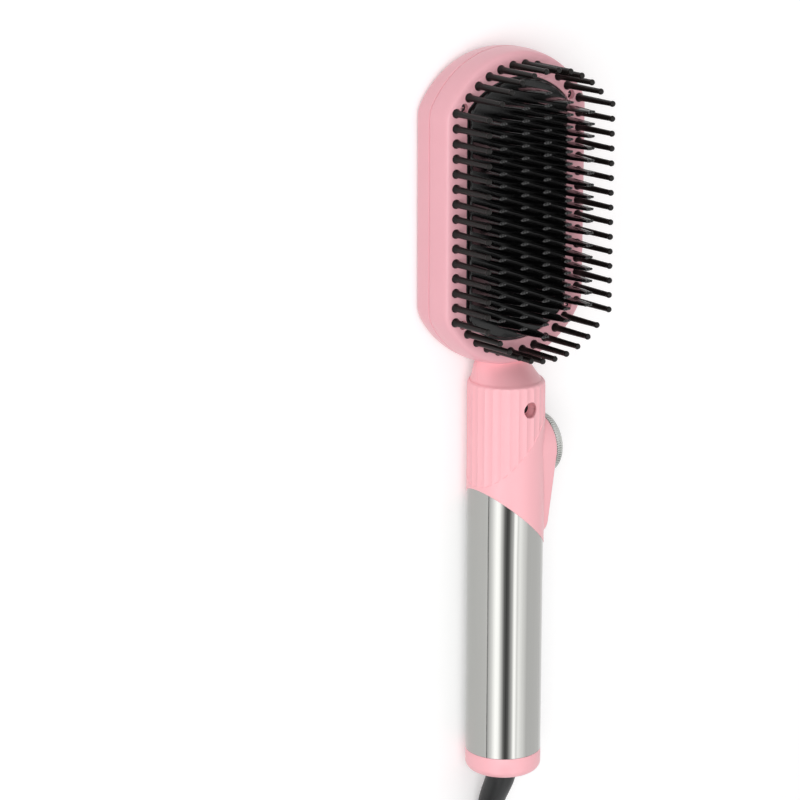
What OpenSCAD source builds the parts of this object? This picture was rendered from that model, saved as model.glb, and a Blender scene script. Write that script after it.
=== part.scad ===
// Hair straightening brush with a heated comb plate, a temperature dial and a power button.
// It lies on the flat back of its head and on its handle, bristles up. X runs along the handle towards
// the head, the dial side is -Y and the bristles point along +Z.

/* [Overall] */
// Length from the end cap to the tip of the head
body_len = 298; // [285:1:330]
// Diameter of the steel handle tube
tube_d = 31; // [30:0.5:33]
// Wall of the steel handle tube
tube_wall = 1; // [0.6:0.1:1.3]

/* [Head] */
// Length of the head
head_len = 126; // [122:1:134]
// Width of the head
head_w = 72; // [70:0.5:78]
// Depth of the head from the back plate to the bristle face
head_t = 21.5; // [20.5:0.5:24]
// Radius of the head's two ends
end_r = 40; // [39:0.5:44]
// Radius of the head's four corners
corner_r = 12; // [10:0.5:15]
// Height of the parting line between the back shell and the bezel
parting_z = 11; // [10:0.25:12]
// Wall of the head's two shells
shell_wall = 2; // [1.6:0.1:2.4]
// Width of the rounded border round the back plate
back_border = 3.5; // [3:0.25:4.5]
// Width of the trim ring round the back plate
trim_w = 1.7; // [1.2:0.1:2.2]
// Thickness of the back plate
panel_t = 1.5; // [1.2:0.1:1.9]

/* [Heated plate] */
// Half the length of the heated plate
plate_half_l = 51.5; // [49:0.5:52]
// Half the width of the heated plate
plate_half_w = 24.5; // [24:0.25:25]
// Radius of the heated plate's ends
plate_end_r = 34; // [32:1:38]
// Radius of the heated plate's corners
plate_corner_r = 3; // [2:0.5:5]
// Height of the heated plate above the bristle face
plate_proud = 1.2; // [0.8:0.1:1.8]
// Gap between the heated plate and the bezel, filled by the gasket
gasket_w = 0.9; // [0.7:0.1:1.1]

/* [Comb rows] */
// Rows of heated comb blades across the plate
comb_rows = 5; // [5]
// Distance between two comb rows
row_pitch = 11.1; // [10.6:0.1:11.3]
// Distance between two blades of a row
blade_pitch = 4.8; // [4.4:0.1:5.4]
// Height of the blades above the plate
blade_h = 16.8; // [15:0.2:18]
// Widest place of a blade
blade_w = 8.4; // [7.6:0.1:8.8]
// Thickness of a blade at its root
blade_root_t = 2.2; // [1.8:0.1:2.6]
// Thickness of a blade at its tip
blade_tip_t = 1.2; // [1:0.1:1.6]
// Radius of the three nubs on a blade's tip
nub_r = 0.6; // [0.5:0.05:0.7]

/* [Side bristles] */
// Bristles in each straight row
side_count = 15; // [13:1:15]
// Bristles in each curved row
end_count = 10; // [8:1:10]
// Distance of the straight rows from the head's sides
bristle_y = 5; // [4.5:0.25:5.25]
// Distance between two bristles of a straight row
bristle_pitch = 5.86; // [5.4:0.02:5.9]
// Radius of the curved rows
bristle_arc_r = 34.5; // [34:0.25:35]
// Half the angle that a curved row spans
bristle_arc_a = 46; // [42:1:47]
// Height of the bristles above the bristle face
bristle_h = 21; // [18:0.5:24]
// Diameter of a bristle at its foot
bristle_d = 2.6; // [2.2:0.1:2.8]
// Diameter of a bristle below its ball
bristle_tip_d = 2.1; // [1.8:0.1:2.2]

/* [Neck] */
// Distance from the head to the middle of the slanted end of the neck
cut_from_head = 64; // [62:1:68]
// Angle of the slanted end
cut_angle = 42; // [38:1:45]
// Length of the shoulder between the neck and the head
shoulder_len = 11; // [10:0.5:12]
// Height of the neck's surface above the handle tube's
neck_step = 0.2; // [0.2:0.05:0.4]
// Facets round the neck
facets = 28; // [24:2:32]
// Depth of the facets
facet_depth = 0.4; // [0.35:0.05:0.5]
// Angle of the line where the facets run out
runout_angle = 47; // [44:1:50]
// Distance from the slanted end to the start of the facets at the back of the neck
runout_gap = 0.8; // [0.5:0.1:2]
// Wall of the neck's two halves
neck_wall = 2.1; // [1.8:0.1:2.3]
// Diameter of the screw recess at the front of the neck
recess_d = 6.4; // [5.6:0.1:7]
// Depth of the screw recess
recess_depth = 6; // [4:0.5:7]
// Distance from the head to the screw recess
recess_from_head = 16.5; // [15.5:0.5:18]

/* [Dial and button] */
// Distance from the head to the dial's axis
dial_from_head = 36; // [35:0.5:37]
// Distance from the dial's axis to the button's axis
button_from_dial = 27; // [26.5:0.25:28]
// Distance from the dial's axis to the middle of the pod's tail
tail_from_dial = 29.5; // [29:0.25:31]
// Height of the pod's flat face above the handle's axis
pod_h = 16.3; // [16.2:0.1:17]
// Radius of the pod round the dial
pod_r = 13.3; // [13.2:0.05:13.5]
// Radius of the pod's tail
tail_r = 8.4; // [8:0.1:9]
// Diameter of the dial ring
dial_d = 25.6; // [25:0.1:26]
// Height of the dial ring above the pod
dial_h = 3.6; // [3.2:0.1:4.2]
// Ribs of the dial's knurl
dial_ribs = 80; // [64:2:90]
// Diameter of the black window in the dial
window_d = 21.4; // [21:0.1:21.6]
// Diameter of the push button
button_d = 9.2; // [8.6:0.1:9.6]
// Height of the push button above the pod
button_proud = 0.4; // [0.2:0.05:0.6]
// Travel of the push button
button_travel = 0.6; // [0.4:0.05:0.7]

/* [End cap and cord] */
// Length of the end cap's rim
cap_len = 9; // [8:0.5:12]
// Radius of the end cap's rounded edge
cap_round = 3.5; // [2:0.5:4]
// Diameter of the strain relief where it leaves the end cap
relief_d = 12.4; // [11.6:0.2:13]
// Diameter of the cord
cord_d = 5.6; // [5:0.2:6]

/* [Hidden] */

// Smoothness of round shapes
$fn = 72;

// Fits: between fixed pieces, round a screw's shank, and round what moves
slip = 0.2;
screw_slip = 0.05;
run_gap = 0.3;
thin = 0.01;

// Main stations along X
tube_r = tube_d / 2;
neck_r = tube_r + neck_step;
axis_z = neck_r;
cap_x = -body_len / 2;
head_end_x = body_len / 2 - head_len;
head_x = body_len / 2 - head_len / 2;
rim_x = cap_x + cap_len;
cut_x = head_end_x - cut_from_head;
shoulder_x = head_end_x - shoulder_len;
recess_x = head_end_x - recess_from_head;
dial_x = head_end_x - dial_from_head;

// Handle
tube_in_r = tube_r - tube_wall;
neck_in_r = neck_r - neck_wall;
spine_r = neck_in_r - slip;
spine_in_r = spine_r - 1.5;
spigot_len = 8;
spine_x0 = rim_x + spigot_len + slip;
spine_step_x = cut_x - tube_r * tan(cut_angle) - 2;
boss_r = recess_d / 2 + 1.2;
spine_wall_x = recess_x - boss_r - 1.7;

// Stations of the shoulder as [x, half width, lowest z, highest z]
shoulder_stations = [
    [shoulder_x, neck_r, 0, 2 * neck_r],
    [shoulder_x + 1.5, neck_r - 0.1, 0.1, 2 * neck_r - 0.1],
    [shoulder_x + 3, neck_r - 0.4, 0.4, 2 * neck_r - 0.5],
    [shoulder_x + 4.3, neck_r - 0.9, 0.8, 2 * neck_r - 1.4],
    [shoulder_x + 5.2, neck_r - 1.5, 1.3, 2 * neck_r - 2.6],
    [head_end_x, neck_r - 3.4, 4, head_t - 1],
    [head_end_x + 3, neck_r - 4.8, 5.5, head_t - 2]
];

// Heights in the head
face_z = head_t;
face_wall = 2;
under_face_z = face_z - face_wall;
floor_z = panel_t + shell_wall;
plate_top_z = face_z + plate_proud;
plate_bevel = 0.5;
flange_w = 2;
flange_t = 1.2;
flange_top_z = under_face_z - 1.3;
plate_bottom_z = flange_top_z - flange_t;
element_t = 2.6;
element_w = 10;
element_half_l = plate_half_l - 16.5;
sheet_half_l = element_half_l + 1;
sheet_half_w = plate_half_w - 7.5;
sheet_t = 0.4;
press_t = 1.5;
element_z = plate_bottom_z - element_t;
sheet_z = element_z - sheet_t;
press_z = sheet_z - press_t;
tip_z = face_z + bristle_h;

// Corner screws of the head
corner_screw_x = 42.6;
corner_screw_y = 26.9;
corner_screw_head_r = 1.7;
corner_screw_r = 1.1;
corner_boss_r = 2.6;
corner_screw_seat_z = face_z - 3.2;

// Pod, in its own frame: X along the handle, Z outwards from the handle's axis
pod_wall = 1.1;
pod_roof = 1.9;
pod_in_z = pod_h - pod_roof;
pod_foot_z = 4;
board_t = 1.2;
board_z = 8.6;
board_top_z = board_z + board_t;
dial_r = dial_d / 2;
dial_z0 = pod_h + run_gap;
dial_z1 = pod_h + dial_h;
window_r = window_d / 2;
window_t = 1.3;
window_top_z = dial_z1 - 0.15;
window_z = window_top_z - window_t;
dial_bore_r = window_r + run_gap;
ring_lip_t = 1;
ring_lip_z = dial_z0 + ring_lip_t;
ring_in_r = window_r - 0.8;
skirt_r = ring_in_r + 0.7;
skirt_z = pod_in_z - 0.4;
cup_r = ring_in_r - run_gap;
cup_wall = 1.1;
button_r = button_d / 2;
button_flange_r = button_r + 0.9;
button_flange_t = 0.8;
button_flange_z = pod_in_z - run_gap - button_flange_t;
plunger_r = 1.5;
plunger_in = 0.9;
switch_w = 6;
switch_h = 2.2;
switch_top_z = board_top_z + switch_h;

// Spine's bar inside the head
bar_w = 16;
bar_z0 = 6.5;
bar_z1 = 13.2;
bar_end_x = head_end_x + 14.5;
bar_screw_x = head_end_x + 9;
bar_screw_y = 5.2;
bar_bore_z = 9.9;
bar_bore_r = 2.3;

// Control board on edge in the handle, with its parts towards the dial side
board_x0 = spine_x0 + 12;
board_len = 78;
board_y = 2;
board_half_w = spine_in_r - 1.1;
main_board_t = 1.6;
rail_t = 1.5;

// Inside of the end cap: web, posts and the clamp that lies on them
cap_web = 3;
spigot_wall = 1.6;
relief_flange_t = 2.5;
post_r = 2.6;
post_y = tube_in_r - slip / 2 - spigot_wall - 2.4;
clamp_t = 4;
clamp_x = rim_x;
clamp_screw_r = 1.1;
jacket_end_x = clamp_x + clamp_t + 3;

// Screw of the neck
neck_screw_len = 6;
neck_screw_seat = neck_r - recess_depth;
boss_z = neck_screw_seat - 1.2;

// Bristle pins
shank_r = 0.9;
collar_r = 1.85;
ball_r = bristle_tip_d / 2 + 0.2;

// Comb rows
row_len = [for (i = [0:comb_rows - 1]) row_half_length(i)];

// Route of the strain relief and its radius along it
relief_r = relief_d / 2;
relief_path = [
    [cap_x + 2, 0, axis_z], [cap_x - 1, 0, axis_z], [cap_x - 5, 0, axis_z - 1.3], [cap_x - 9, 0, axis_z - 3.2],
    [cap_x - 14, 0, axis_z - 5.7], [cap_x - 20, 0, axis_z - 8.1], [cap_x - 28, 0, axis_z - 10.2],
    [cap_x - 38, 0, axis_z - 11.5], [cap_x - 46, 0, axis_z - 12.1]
];
relief_radii = [for (r = [0.95, 0.95, 0.95, 0.93, 0.89, 0.82, 0.73, 0.63, 0.55]) r * relief_r];

// Route of the cord from the strain relief to its coil, then from the coil's top to the plug
cord_r = cord_d / 2;
cord_z = 2.9;
cord_path = [
    [cap_x - 46, 0, axis_z - 12.1], [cap_x - 53, 0, cord_z + 0.1], [cap_x - 60, 0, cord_z],
    [cap_x - 69, 0, cord_z], [cap_x - 78, 0, cord_z], [cap_x - 87, 0, cord_z], [cap_x - 94, 0, cord_z]
];

// Coil of the cord: rows of 4, 3 and 2 turns on one another, not bedded quite down into each other
coil_x = cap_x - 94;
coil_y = 41.4;
coil_r = 33;
coil_rise = 0.93 * cord_d;
coil_top_z = cord_z + 2 * coil_rise;

// Plug, flat on the coil
plug_x = coil_x + 1;
plug_y = coil_y + 23;
plug_half_w = 17.7;
plug_half_t = 6.8;
plug_z = coil_top_z + cord_r + plug_half_t + 0.1;
plug_len = 36;
pin_r = 2;
pin_len = 19;
plug_path = [
    [coil_x + 17.9, coil_y - 31, coil_top_z], [coil_x, coil_y - 35.8, coil_top_z + 3.2],
    [coil_x - 17.9, coil_y - 31, coil_top_z + 5.6], [coil_x - 30.7, coil_y - 17.7, coil_top_z + 6.4],
    [coil_x - 35, coil_y, plug_z - 2.6], [coil_x - 33.2, coil_y + 8.8, plug_z - 1.8],
    [coil_x - 28.3, coil_y + 16.3, plug_z - 1], [coil_x - 20.8, coil_y + 21.3, plug_z - 0.4],
    [coil_x - 12, plug_y, plug_z], [coil_x - 8, plug_y, plug_z]
];

function row_y(i) = (i - (comb_rows - 1) / 2) * row_pitch;

// Half the length of a comb row that stays on the plate's rounded ends
function row_half_length(i) =
    let (
        reach = min(abs(row_y(i)) + blade_w / 2 - 1, plate_half_w - 1),
        end_centre = plate_half_l - plate_end_r,
        room = end_centre + sqrt(plate_end_r * plate_end_r - reach * reach) - 2
    )
    blade_pitch * floor(min(room, 48.5) / blade_pitch);

// A round bar along X at the height of the handle's axis
module bar_x(r, x0, x1, y = 0, z = axis_z) {
    translate([x0, y, z]) rotate([0, 90, 0]) cylinder(r = r, h = x1 - x0);
}

// A ring round the handle's axis
module tube_x(r_out, r_in, x0, x1) {
    difference() {
        bar_x(r_out, x0, x1);
        bar_x(r_in, x0 - 1, x1 + 1);
    }
}

// Points along an arc; its last point is kept only where a straight side follows
function arc(centre, r, from, to, steps, keep_last = false) = [
    for (i = [0:steps - (keep_last ? 0 : 1)])
        let (a = from + (to - from) * i / steps)
        centre + r * [cos(a), sin(a)]
];

// Outline with two flat sides, two round ends and four rounded corners
function oval(half_l, half_w, r_end, r_corner) =
    let (
        end_c = half_l - r_end,
        cx = end_c + sqrt(pow(r_end - r_corner, 2) - pow(half_w - r_corner, 2)),
        cy = half_w - r_corner,
        turn = atan2(cy, cx - end_c)
    )
    concat(
        arc([end_c, 0], r_end, -turn, turn, 28),
        arc([cx, cy], r_corner, turn, 90, 8, true),
        arc([-cx, cy], r_corner, 90, 180 - turn, 8),
        arc([-end_c, 0], r_end, 180 - turn, 180 + turn, 28),
        arc([-cx, -cy], r_corner, 180 + turn, 270, 8, true),
        arc([cx, -cy], r_corner, 270, 360 - turn, 8)
    );

// The head's outline, moved inwards all round, and the heated plate's, moved outwards
function head_oval(inset) = oval(head_len / 2 - inset, head_w / 2 - inset, end_r - inset, corner_r - inset);
function plate_oval(grow) = oval(plate_half_l + grow, plate_half_w + grow, plate_end_r + grow, plate_corner_r + grow);

module head_slab(inset, z0, z1) {
    translate([head_x, 0, z0]) linear_extrude(z1 - z0) polygon(head_oval(inset));
}

module plate_slab(grow, z0, z1) {
    translate([head_x, 0, z0]) linear_extrude(z1 - z0) polygon(plate_oval(grow));
}

// A rounded body lofted through outlines, each given as [height, inset], from the top down
module lofted_head(layers) {
    loft([for (layer = layers) [for (p = head_oval(layer[1])) [head_x + p[0], p[1], layer[0]]]]);
}

// Outer forms of the back shell and of the bezel, which meet at the parting line
module back_form() {
    lofted_head([
        [parting_z, 0], [7, 0.3], [4, 0.9], [2.2, 1.6], [0.9, 2.5], [0.2, back_border + 0.1]
    ]);
}

module bezel_form() {
    lofted_head([
        [face_z, 3.4], [face_z - 0.35, 2.5], [face_z - 1.2, 1.6], [face_z - 3.5, 0.6], [parting_z + 3, 0],
        [parting_z + 0.7, 0.1], [parting_z, 0.35]
    ]);
}

module at_corner_screws() {
    for (sx = [-1, 1], sy = [-1, 1]) translate([head_x + sx * corner_screw_x, sy * corner_screw_y, 0])
        children();
}

module at_spine_screws() {
    for (sy = [-1, 1]) translate([bar_screw_x, sy * bar_screw_y, 0]) children();
}

module back_shell() {
    color("lightpink") difference() {
        union() {
            difference() {
                back_form();
                lofted_head([
                    [parting_z + 1, shell_wall], [floor_z + 2, shell_wall + 1], [floor_z, back_border + 1.2]
                ]);
            }
            at_corner_screws() translate([0, 0, floor_z - 1]) cylinder(r = 3.1, h = parting_z - floor_z + 1);
            at_spine_screws() translate([0, 0, floor_z - 1]) cylinder(r = 2.6, h = bar_z0 - floor_z + 1);
        }
        head_slab(back_border, -1, panel_t);
        at_corner_screws() translate([0, 0, panel_t + 1]) cylinder(r = corner_screw_r + screw_slip, h = head_t);
        at_spine_screws() translate([0, 0, panel_t + 1]) cylinder(r = 1.2, h = head_t);
        bar_channel(head_end_x - 5, head_end_x + 7);
    }
}

module back_plate() {
    color("pink") difference() {
        head_slab(back_border + trim_w, 0, panel_t);
        // A shallow step that frames the panel
        difference() {
            head_slab(back_border + trim_w - 1, -1, 0.35);
            head_slab(back_border + trim_w + 0.6, -2, 1);
        }
    }
}

module trim_ring() {
    color("rosybrown") difference() {
        head_slab(back_border, 0.5, panel_t);
        head_slab(back_border + trim_w, 0, panel_t + 1);
    }
}

module front_bezel() {
    color("lightpink") difference() {
        union() {
            difference() {
                bezel_form();
                intersection() {
                    lofted_head([
                        [face_z - 0.6, shell_wall + 3.4], [face_z - 4, shell_wall + 0.9],
                        [parting_z - 1, shell_wall + 0.35]
                    ]);
                    head_slab(0, parting_z - 1, under_face_z);
                }
            }
            at_corner_screws() translate([0, 0, parting_z])
                cylinder(r = corner_boss_r, h = under_face_z - parting_z + thin);
        }
        plate_slab(gasket_w, parting_z, head_t + 1);
        at_corner_screws() {
            translate([0, 0, parting_z - 1]) cylinder(r = corner_screw_r + slip, h = head_t);
            translate([0, 0, corner_screw_seat_z]) cylinder(r = corner_screw_head_r + 0.1, h = head_t);
        }
        at_bristles() translate([0, 0, under_face_z - 1]) cylinder(r = shank_r + screw_slip, h = head_t);
        bar_channel(head_end_x - 5, head_end_x + 7);
    }
}

module corner_screws() {
    color("dimgray") at_corner_screws() difference() {
        union() {
            translate([0, 0, corner_screw_seat_z]) cylinder(r = corner_screw_head_r, h = 1.4);
            translate([0, 0, panel_t + 2]) cylinder(r = corner_screw_r, h = corner_screw_seat_z - panel_t - 2);
        }
        // Cross recess
        for (a = [0, 90]) rotate([0, 0, a])
            translate([-1, -0.2, corner_screw_seat_z + 0.8]) cube([2, 0.4, 1]);
    }
}

module heated_plate() {
    color("#1c1c1e") difference() {
        union() {
            plate_slab(flange_w, plate_bottom_z, flange_top_z);
            // Raised plate with a bevelled rim
            loft([
                for (layer = [[plate_top_z, -plate_bevel], [plate_top_z - plate_bevel, 0], [plate_bottom_z, 0]])
                    [for (p = plate_oval(layer[1])) [head_x + p[0], p[1], layer[0]]]
            ]);
        }
        at_pressure_screws() translate([0, 0, plate_bottom_z - 1]) cylinder(r = 1.05, h = 4);
        at_corner_screws() translate([0, 0, plate_bottom_z - 1])
            cylinder(r = corner_boss_r + slip, h = flange_top_z - plate_bottom_z + 1 + thin);
    }
}

// A blade seen along the handle: wide at its foot, a soft belly, then drawn in to a tip with three nubs
module blade_front() {
    w = blade_w / 2;
    polygon([
        [-w * 0.92, 0], [w * 0.92, 0], [w, blade_h * 0.3], [w * 0.93, blade_h * 0.5],
        [w * 0.72, blade_h * 0.72], [w * 0.45, blade_h - nub_r], [-w * 0.45, blade_h - nub_r],
        [-w * 0.72, blade_h * 0.72], [-w * 0.93, blade_h * 0.5], [-w, blade_h * 0.3]
    ]);
    for (s = [-1, 0, 1]) translate([s * (w * 0.45 - nub_r * 0.9), blade_h - nub_r]) circle(nub_r);
}

// A whole row seen from the side: a thin foot strip with one tapered tooth for each blade
module blade_side(half_len) {
    foot = 0.8;
    tip_round = 0.35;
    translate([-half_len - blade_root_t, 0]) square([2 * (half_len + blade_root_t), foot]);
    for (x = [-half_len:blade_pitch:half_len + thin]) translate([x, 0]) polygon([
        [-blade_root_t / 2, 0], [blade_root_t / 2, 0], [blade_tip_t / 2, blade_h - tip_round],
        [blade_tip_t / 2 - tip_round, blade_h + thin], [tip_round - blade_tip_t / 2, blade_h + thin],
        [-blade_tip_t / 2, blade_h - tip_round]
    ]);
}

// The blades of one row are what the front profile and the side profile have in common; those of the outer
// rows are cut off upright at the plate's edge
module comb_row(i) {
    half_len = row_len[i];
    edge_y = plate_half_w - plate_bevel;
    color("#26262a") translate([head_x, 0, plate_top_z]) intersection() {
        translate([-half_len - 3, row_y(i), 0]) rotate([90, 0, 90]) linear_extrude(2 * half_len + 6) blade_front();
        translate([0, edge_y, 0]) rotate([90, 0, 0]) linear_extrude(2 * edge_y) blade_side(half_len);
    }
}

module comb_row_1() comb_row(0);
module comb_row_2() comb_row(1);
module comb_row_3() comb_row(2);
module comb_row_4() comb_row(3);
module comb_row_5() comb_row(4);

module plate_gasket() {
    color("black") difference() {
        union() {
            plate_slab(gasket_w - screw_slip, flange_top_z, face_z - 0.5);
            plate_slab(flange_w, flange_top_z, under_face_z);
        }
        plate_slab(screw_slip, flange_top_z - 1, head_t);
        at_corner_screws() cylinder(r = corner_boss_r + slip, h = head_t);
    }
}

module heating_elements() {
    color("silver") for (sy = [-1, 1])
        translate([head_x - element_half_l, sy * element_w - element_w / 2, element_z])
            cube([2 * element_half_l, element_w, element_t]);
}

module insulating_sheet() {
    color("burlywood") difference() {
        translate([head_x - sheet_half_l, -sheet_half_w, sheet_z])
            cube([2 * sheet_half_l, 2 * sheet_half_w, sheet_t]);
        at_pressure_screws() translate([0, 0, sheet_z - 1]) cylinder(r = 1.5, h = 3);
        translate([head_x - 6, -2, sheet_z - 1]) cube([12, 4, 3]);
    }
}

module pressure_plate() {
    color("lightsteelblue") difference() {
        translate([head_x - sheet_half_l, -sheet_half_w, press_z])
            cube([2 * sheet_half_l, 2 * sheet_half_w, press_t]);
        at_pressure_screws() translate([0, 0, press_z - 1]) cylinder(r = 1.3, h = 4);
        // Window over the temperature sensor
        translate([head_x - 6, -3, press_z - 1]) cube([12, 6, 4]);
        for (sy = [-1, 1], x = [-24, 0, 24])
            translate([head_x + x - 4, sy * (sheet_half_w - 3.5) - 1, press_z - 1]) cube([8, 2, 4]);
    }
}

module at_pressure_screws() {
    for (x = [-1, -0.5, 0.5, 1]) translate([head_x + x * (element_half_l - 4), 0, 0]) children();
}

module pressure_screws() {
    color("gray") at_pressure_screws() {
        translate([0, 0, press_z - 1.2]) cylinder(r = 2, h = 1.2);
        translate([0, 0, press_z - 0.2]) cylinder(r = 1, h = plate_bottom_z - press_z + 2.6);
    }
}

module temperature_sensor() {
    color("darkorange") {
        translate([head_x - 4, -1.4, plate_bottom_z - 1.9]) cube([8, 2.8, 1.9]);
    }
}

module thermal_fuse() {
    color("whitesmoke") bar_x(1.7, head_x + 8, head_x + 19, 20.5, plate_bottom_z - 1.7);
}

// A thin wire through a few points
module wire(points, r) {
    sweep(points, [for (p = points) r], 8);
}

module heater_leads() {
    lead_r = 0.8;
    lead_z = element_z + element_t / 2;
    board_end_x = board_x0 + board_len;
    color("firebrick") for (s = [-1, 1]) wire([
        [board_end_x - 3, board_y, bar_bore_z + s * 1.6], [board_end_x - 3, -0.5, bar_bore_z + s * 1.6],
        [spine_wall_x - 6, s * 1.1, bar_bore_z], [bar_end_x + 6, s * 1.1, bar_bore_z],
        [bar_end_x + 10, s * element_w, lead_z], [head_x - element_half_l, s * element_w, lead_z]
    ], lead_r);
}

// A bristle pin: shank in the bezel, flared collar, slightly tapered rod and a ball tip
module bristle() {
    r0 = bristle_d / 2;
    r1 = bristle_tip_d / 2;
    ball_z = bristle_h - ball_r;
    rotate_extrude($fn = 24) {
        polygon([
            [0, -face_wall - 0.4], [shank_r, -face_wall - 0.4], [shank_r, 0], [collar_r, 0],
            [collar_r, 0.35], [r0 + 0.15, 1.3], [r0, 2.2], [r1, ball_z], [0, ball_z]
        ]);
        intersection() {
            translate([0, ball_z]) circle(ball_r);
            translate([0, ball_z - ball_r]) square([ball_r, 2 * ball_r]);
        }
    }
}

module at_side_bristles(side) {
    for (i = [0:side_count - 1])
        translate([head_x + (i - (side_count - 1) / 2) * bristle_pitch, side * (head_w / 2 - bristle_y), face_z])
            children();
}

module at_end_bristles(end) {
    arc_x = head_len / 2 - 6 - bristle_arc_r;
    for (i = [0:end_count - 1]) {
        a = bristle_arc_a * (2 * i / (end_count - 1) - 1);
        translate([head_x + end * (arc_x + bristle_arc_r * cos(a)), bristle_arc_r * sin(a), face_z])
            children();
    }
}

module at_bristles() {
    for (s = [-1, 1]) {
        translate([0, 0, -face_z]) at_side_bristles(s) children();
        translate([0, 0, -face_z]) at_end_bristles(s) children();
    }
}

module side_bristles_left() {
    color("#202022") at_side_bristles(1) bristle();
}

module side_bristles_right() {
    color("#202022") at_side_bristles(-1) bristle();
}

module tip_bristles() {
    color("#202022") at_end_bristles(1) bristle();
}

module neck_bristles() {
    color("#202022") at_end_bristles(-1) bristle();
}

// Region beyond the slanted end of the neck, on the end cap's side (side = -1) or the head's side (1)
module slant(side, x, angle) {
    reach = 3 * tube_d;
    lean = tan(angle) * reach;
    translate([x, 0, -reach]) linear_extrude(2 * reach + axis_z) polygon([
        [-lean, -reach], [lean, reach], [side * 3 * reach + lean, reach], [side * 3 * reach - lean, -reach]
    ]);
}

// Ring of points round an upright ellipse at a station along X, given as [x, half width, lowest z, highest z]
function shoulder_ring(station, inset, sides) = [
    for (k = [0:sides - 1]) [
        station[0],
        -(station[1] - inset) * cos(360 * k / sides),
        (station[2] + station[3]) / 2 + ((station[3] - station[2]) / 2 - inset) * sin(360 * k / sides)
    ]
];

// The shoulder draws the round neck in to the flat head
module shoulder(inset) {
    loft([for (station = shoulder_stations) shoulder_ring(station, inset, 48)]);
}

module neck_sleeve() {
    difference() {
        bar_x(neck_r, cut_x - 1.5 * tube_d, shoulder_x + 0.5);
        slant(-1, cut_x, cut_angle);
        facet_cuts();
    }
}

// What the facets take off the neck, from their slanted run-out line to the shoulder
module facet_cuts() {
    facet_edge_r = (neck_r - facet_depth) / cos(180 / facets);
    intersection() {
        slant(1, cut_x + neck_r * (tan(runout_angle) + tan(cut_angle)) + runout_gap, -runout_angle);
        difference() {
            bar_x(tube_d, cut_x - tube_d, shoulder_x + tube_d);
            translate([cut_x - tube_d - 1, 0, axis_z]) rotate([0, 90, 0]) rotate([0, 0, 135 / facets])
                linear_extrude(4 * tube_d)
                    polygon([for (i = [0:facets - 1]) facet_edge_r * [cos(360 * i / facets), sin(360 * i / facets)]]);
        }
    }
}

// Room for the spine's bar through whatever it passes
module bar_channel(x0, x1) {
    translate([x0, -bar_w / 2 - slip, bar_z0 - slip])
        cube([x1 - x0, bar_w + 2 * slip, bar_z1 - bar_z0 + 2 * slip]);
}

module neck_solid() {
    difference() {
        union() {
            neck_sleeve();
            shoulder(0);
        }
        bar_x(neck_in_r, cut_x - 2 * tube_d, shoulder_x + 0.5);
        shoulder(neck_wall + 0.1);
        pod_frame() pod_prism(-slip / 2, pod_foot_z, tube_d);
        bar_channel(shoulder_x, head_end_x + 5);
        back_form();
        bezel_form();
    }
}

module neck_front() {
    color("lightpink") difference() {
        union() {
            intersection() {
                neck_solid();
                translate([-body_len, -tube_d, axis_z]) cube([2 * body_len, 2 * tube_d, tube_d]);
            }
            translate([recess_x, 0, axis_z + boss_z]) cylinder(r = boss_r, h = neck_in_r + 0.3 - boss_z);
        }
        translate([recess_x, 0, axis_z]) cylinder(r = 1.2 + slip, h = tube_d);
        translate([recess_x, 0, axis_z + neck_screw_seat]) cylinder(r = recess_d / 2, h = tube_d);
    }
}

module neck_rear() {
    color("lightpink") intersection() {
        neck_solid();
        translate([-body_len, -tube_d, axis_z - 2 * tube_d]) cube([2 * body_len, 2 * tube_d, 2 * tube_d]);
    }
}

module neck_screw() {
    color("dimgray") translate([recess_x, 0, axis_z]) difference() {
        union() {
            translate([0, 0, boss_z - neck_screw_len])
                cylinder(r = 1.2, h = neck_screw_len + neck_screw_seat - boss_z + thin);
            translate([0, 0, neck_screw_seat]) cylinder(r = 2.4, h = 1);
        }
        for (a = [0, 90]) rotate([0, 0, a]) translate([-1.4, -0.25, neck_screw_seat + 0.5]) cube([2.8, 0.5, 1]);
    }
}

// The spine carries the boards and both neck halves, and its bar is screwed into the head
module spine() {
    color("whitesmoke") difference() {
        union() {
            difference() {
                union() {
                    bar_x(tube_in_r - slip, spine_x0, spine_step_x);
                    bar_x(spine_r, spine_step_x - thin, shoulder_x - 1);
                }
                bar_x(spine_in_r, spine_x0 - 1, spine_wall_x);
            }
            translate([shoulder_x - 2, -bar_w / 2, bar_z0])
                cube([bar_end_x - shoulder_x + 2, bar_w, bar_z1 - bar_z0]);
            // Rails on both sides of the control board
            for (s = [-1, 1], y = [board_y - slip - rail_t, board_y + main_board_t + slip])
                translate([board_x0, y, axis_z + s * (spine_in_r - 0.9) - 1.1]) cube([board_len, rail_t, 2.2]);
        }
        bar_x(bar_bore_r, spine_wall_x - 1, bar_end_x + 1, 0, bar_bore_z);
        pod_frame() pod_prism(pod_wall, board_z, tube_d);
        translate([recess_x, 0, axis_z + boss_z - neck_screw_len - slip])
            cylinder(r = 1.2 + screw_slip, h = tube_d);
        translate([recess_x, 0, axis_z + boss_z - slip]) cylinder(r = boss_r + slip, h = tube_d);
        at_spine_screws() translate([0, 0, bar_z0 - 1]) cylinder(r = 1.5, h = bar_z1);
    }
}

module spine_screws() {
    color("gray") at_spine_screws() {
        translate([0, 0, bar_z1]) cylinder(r = 2.4, h = 1.4);
        translate([0, 0, panel_t + 1.6]) cylinder(r = 1.15, h = bar_z1 - panel_t - 1.6);
    }
}

// Frame of the dial and the button: origin on the handle's axis below the dial, Z outwards to the dial side
module pod_frame() {
    translate([dial_x, 0, axis_z]) rotate([90, 0, 0]) children();
}

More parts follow.
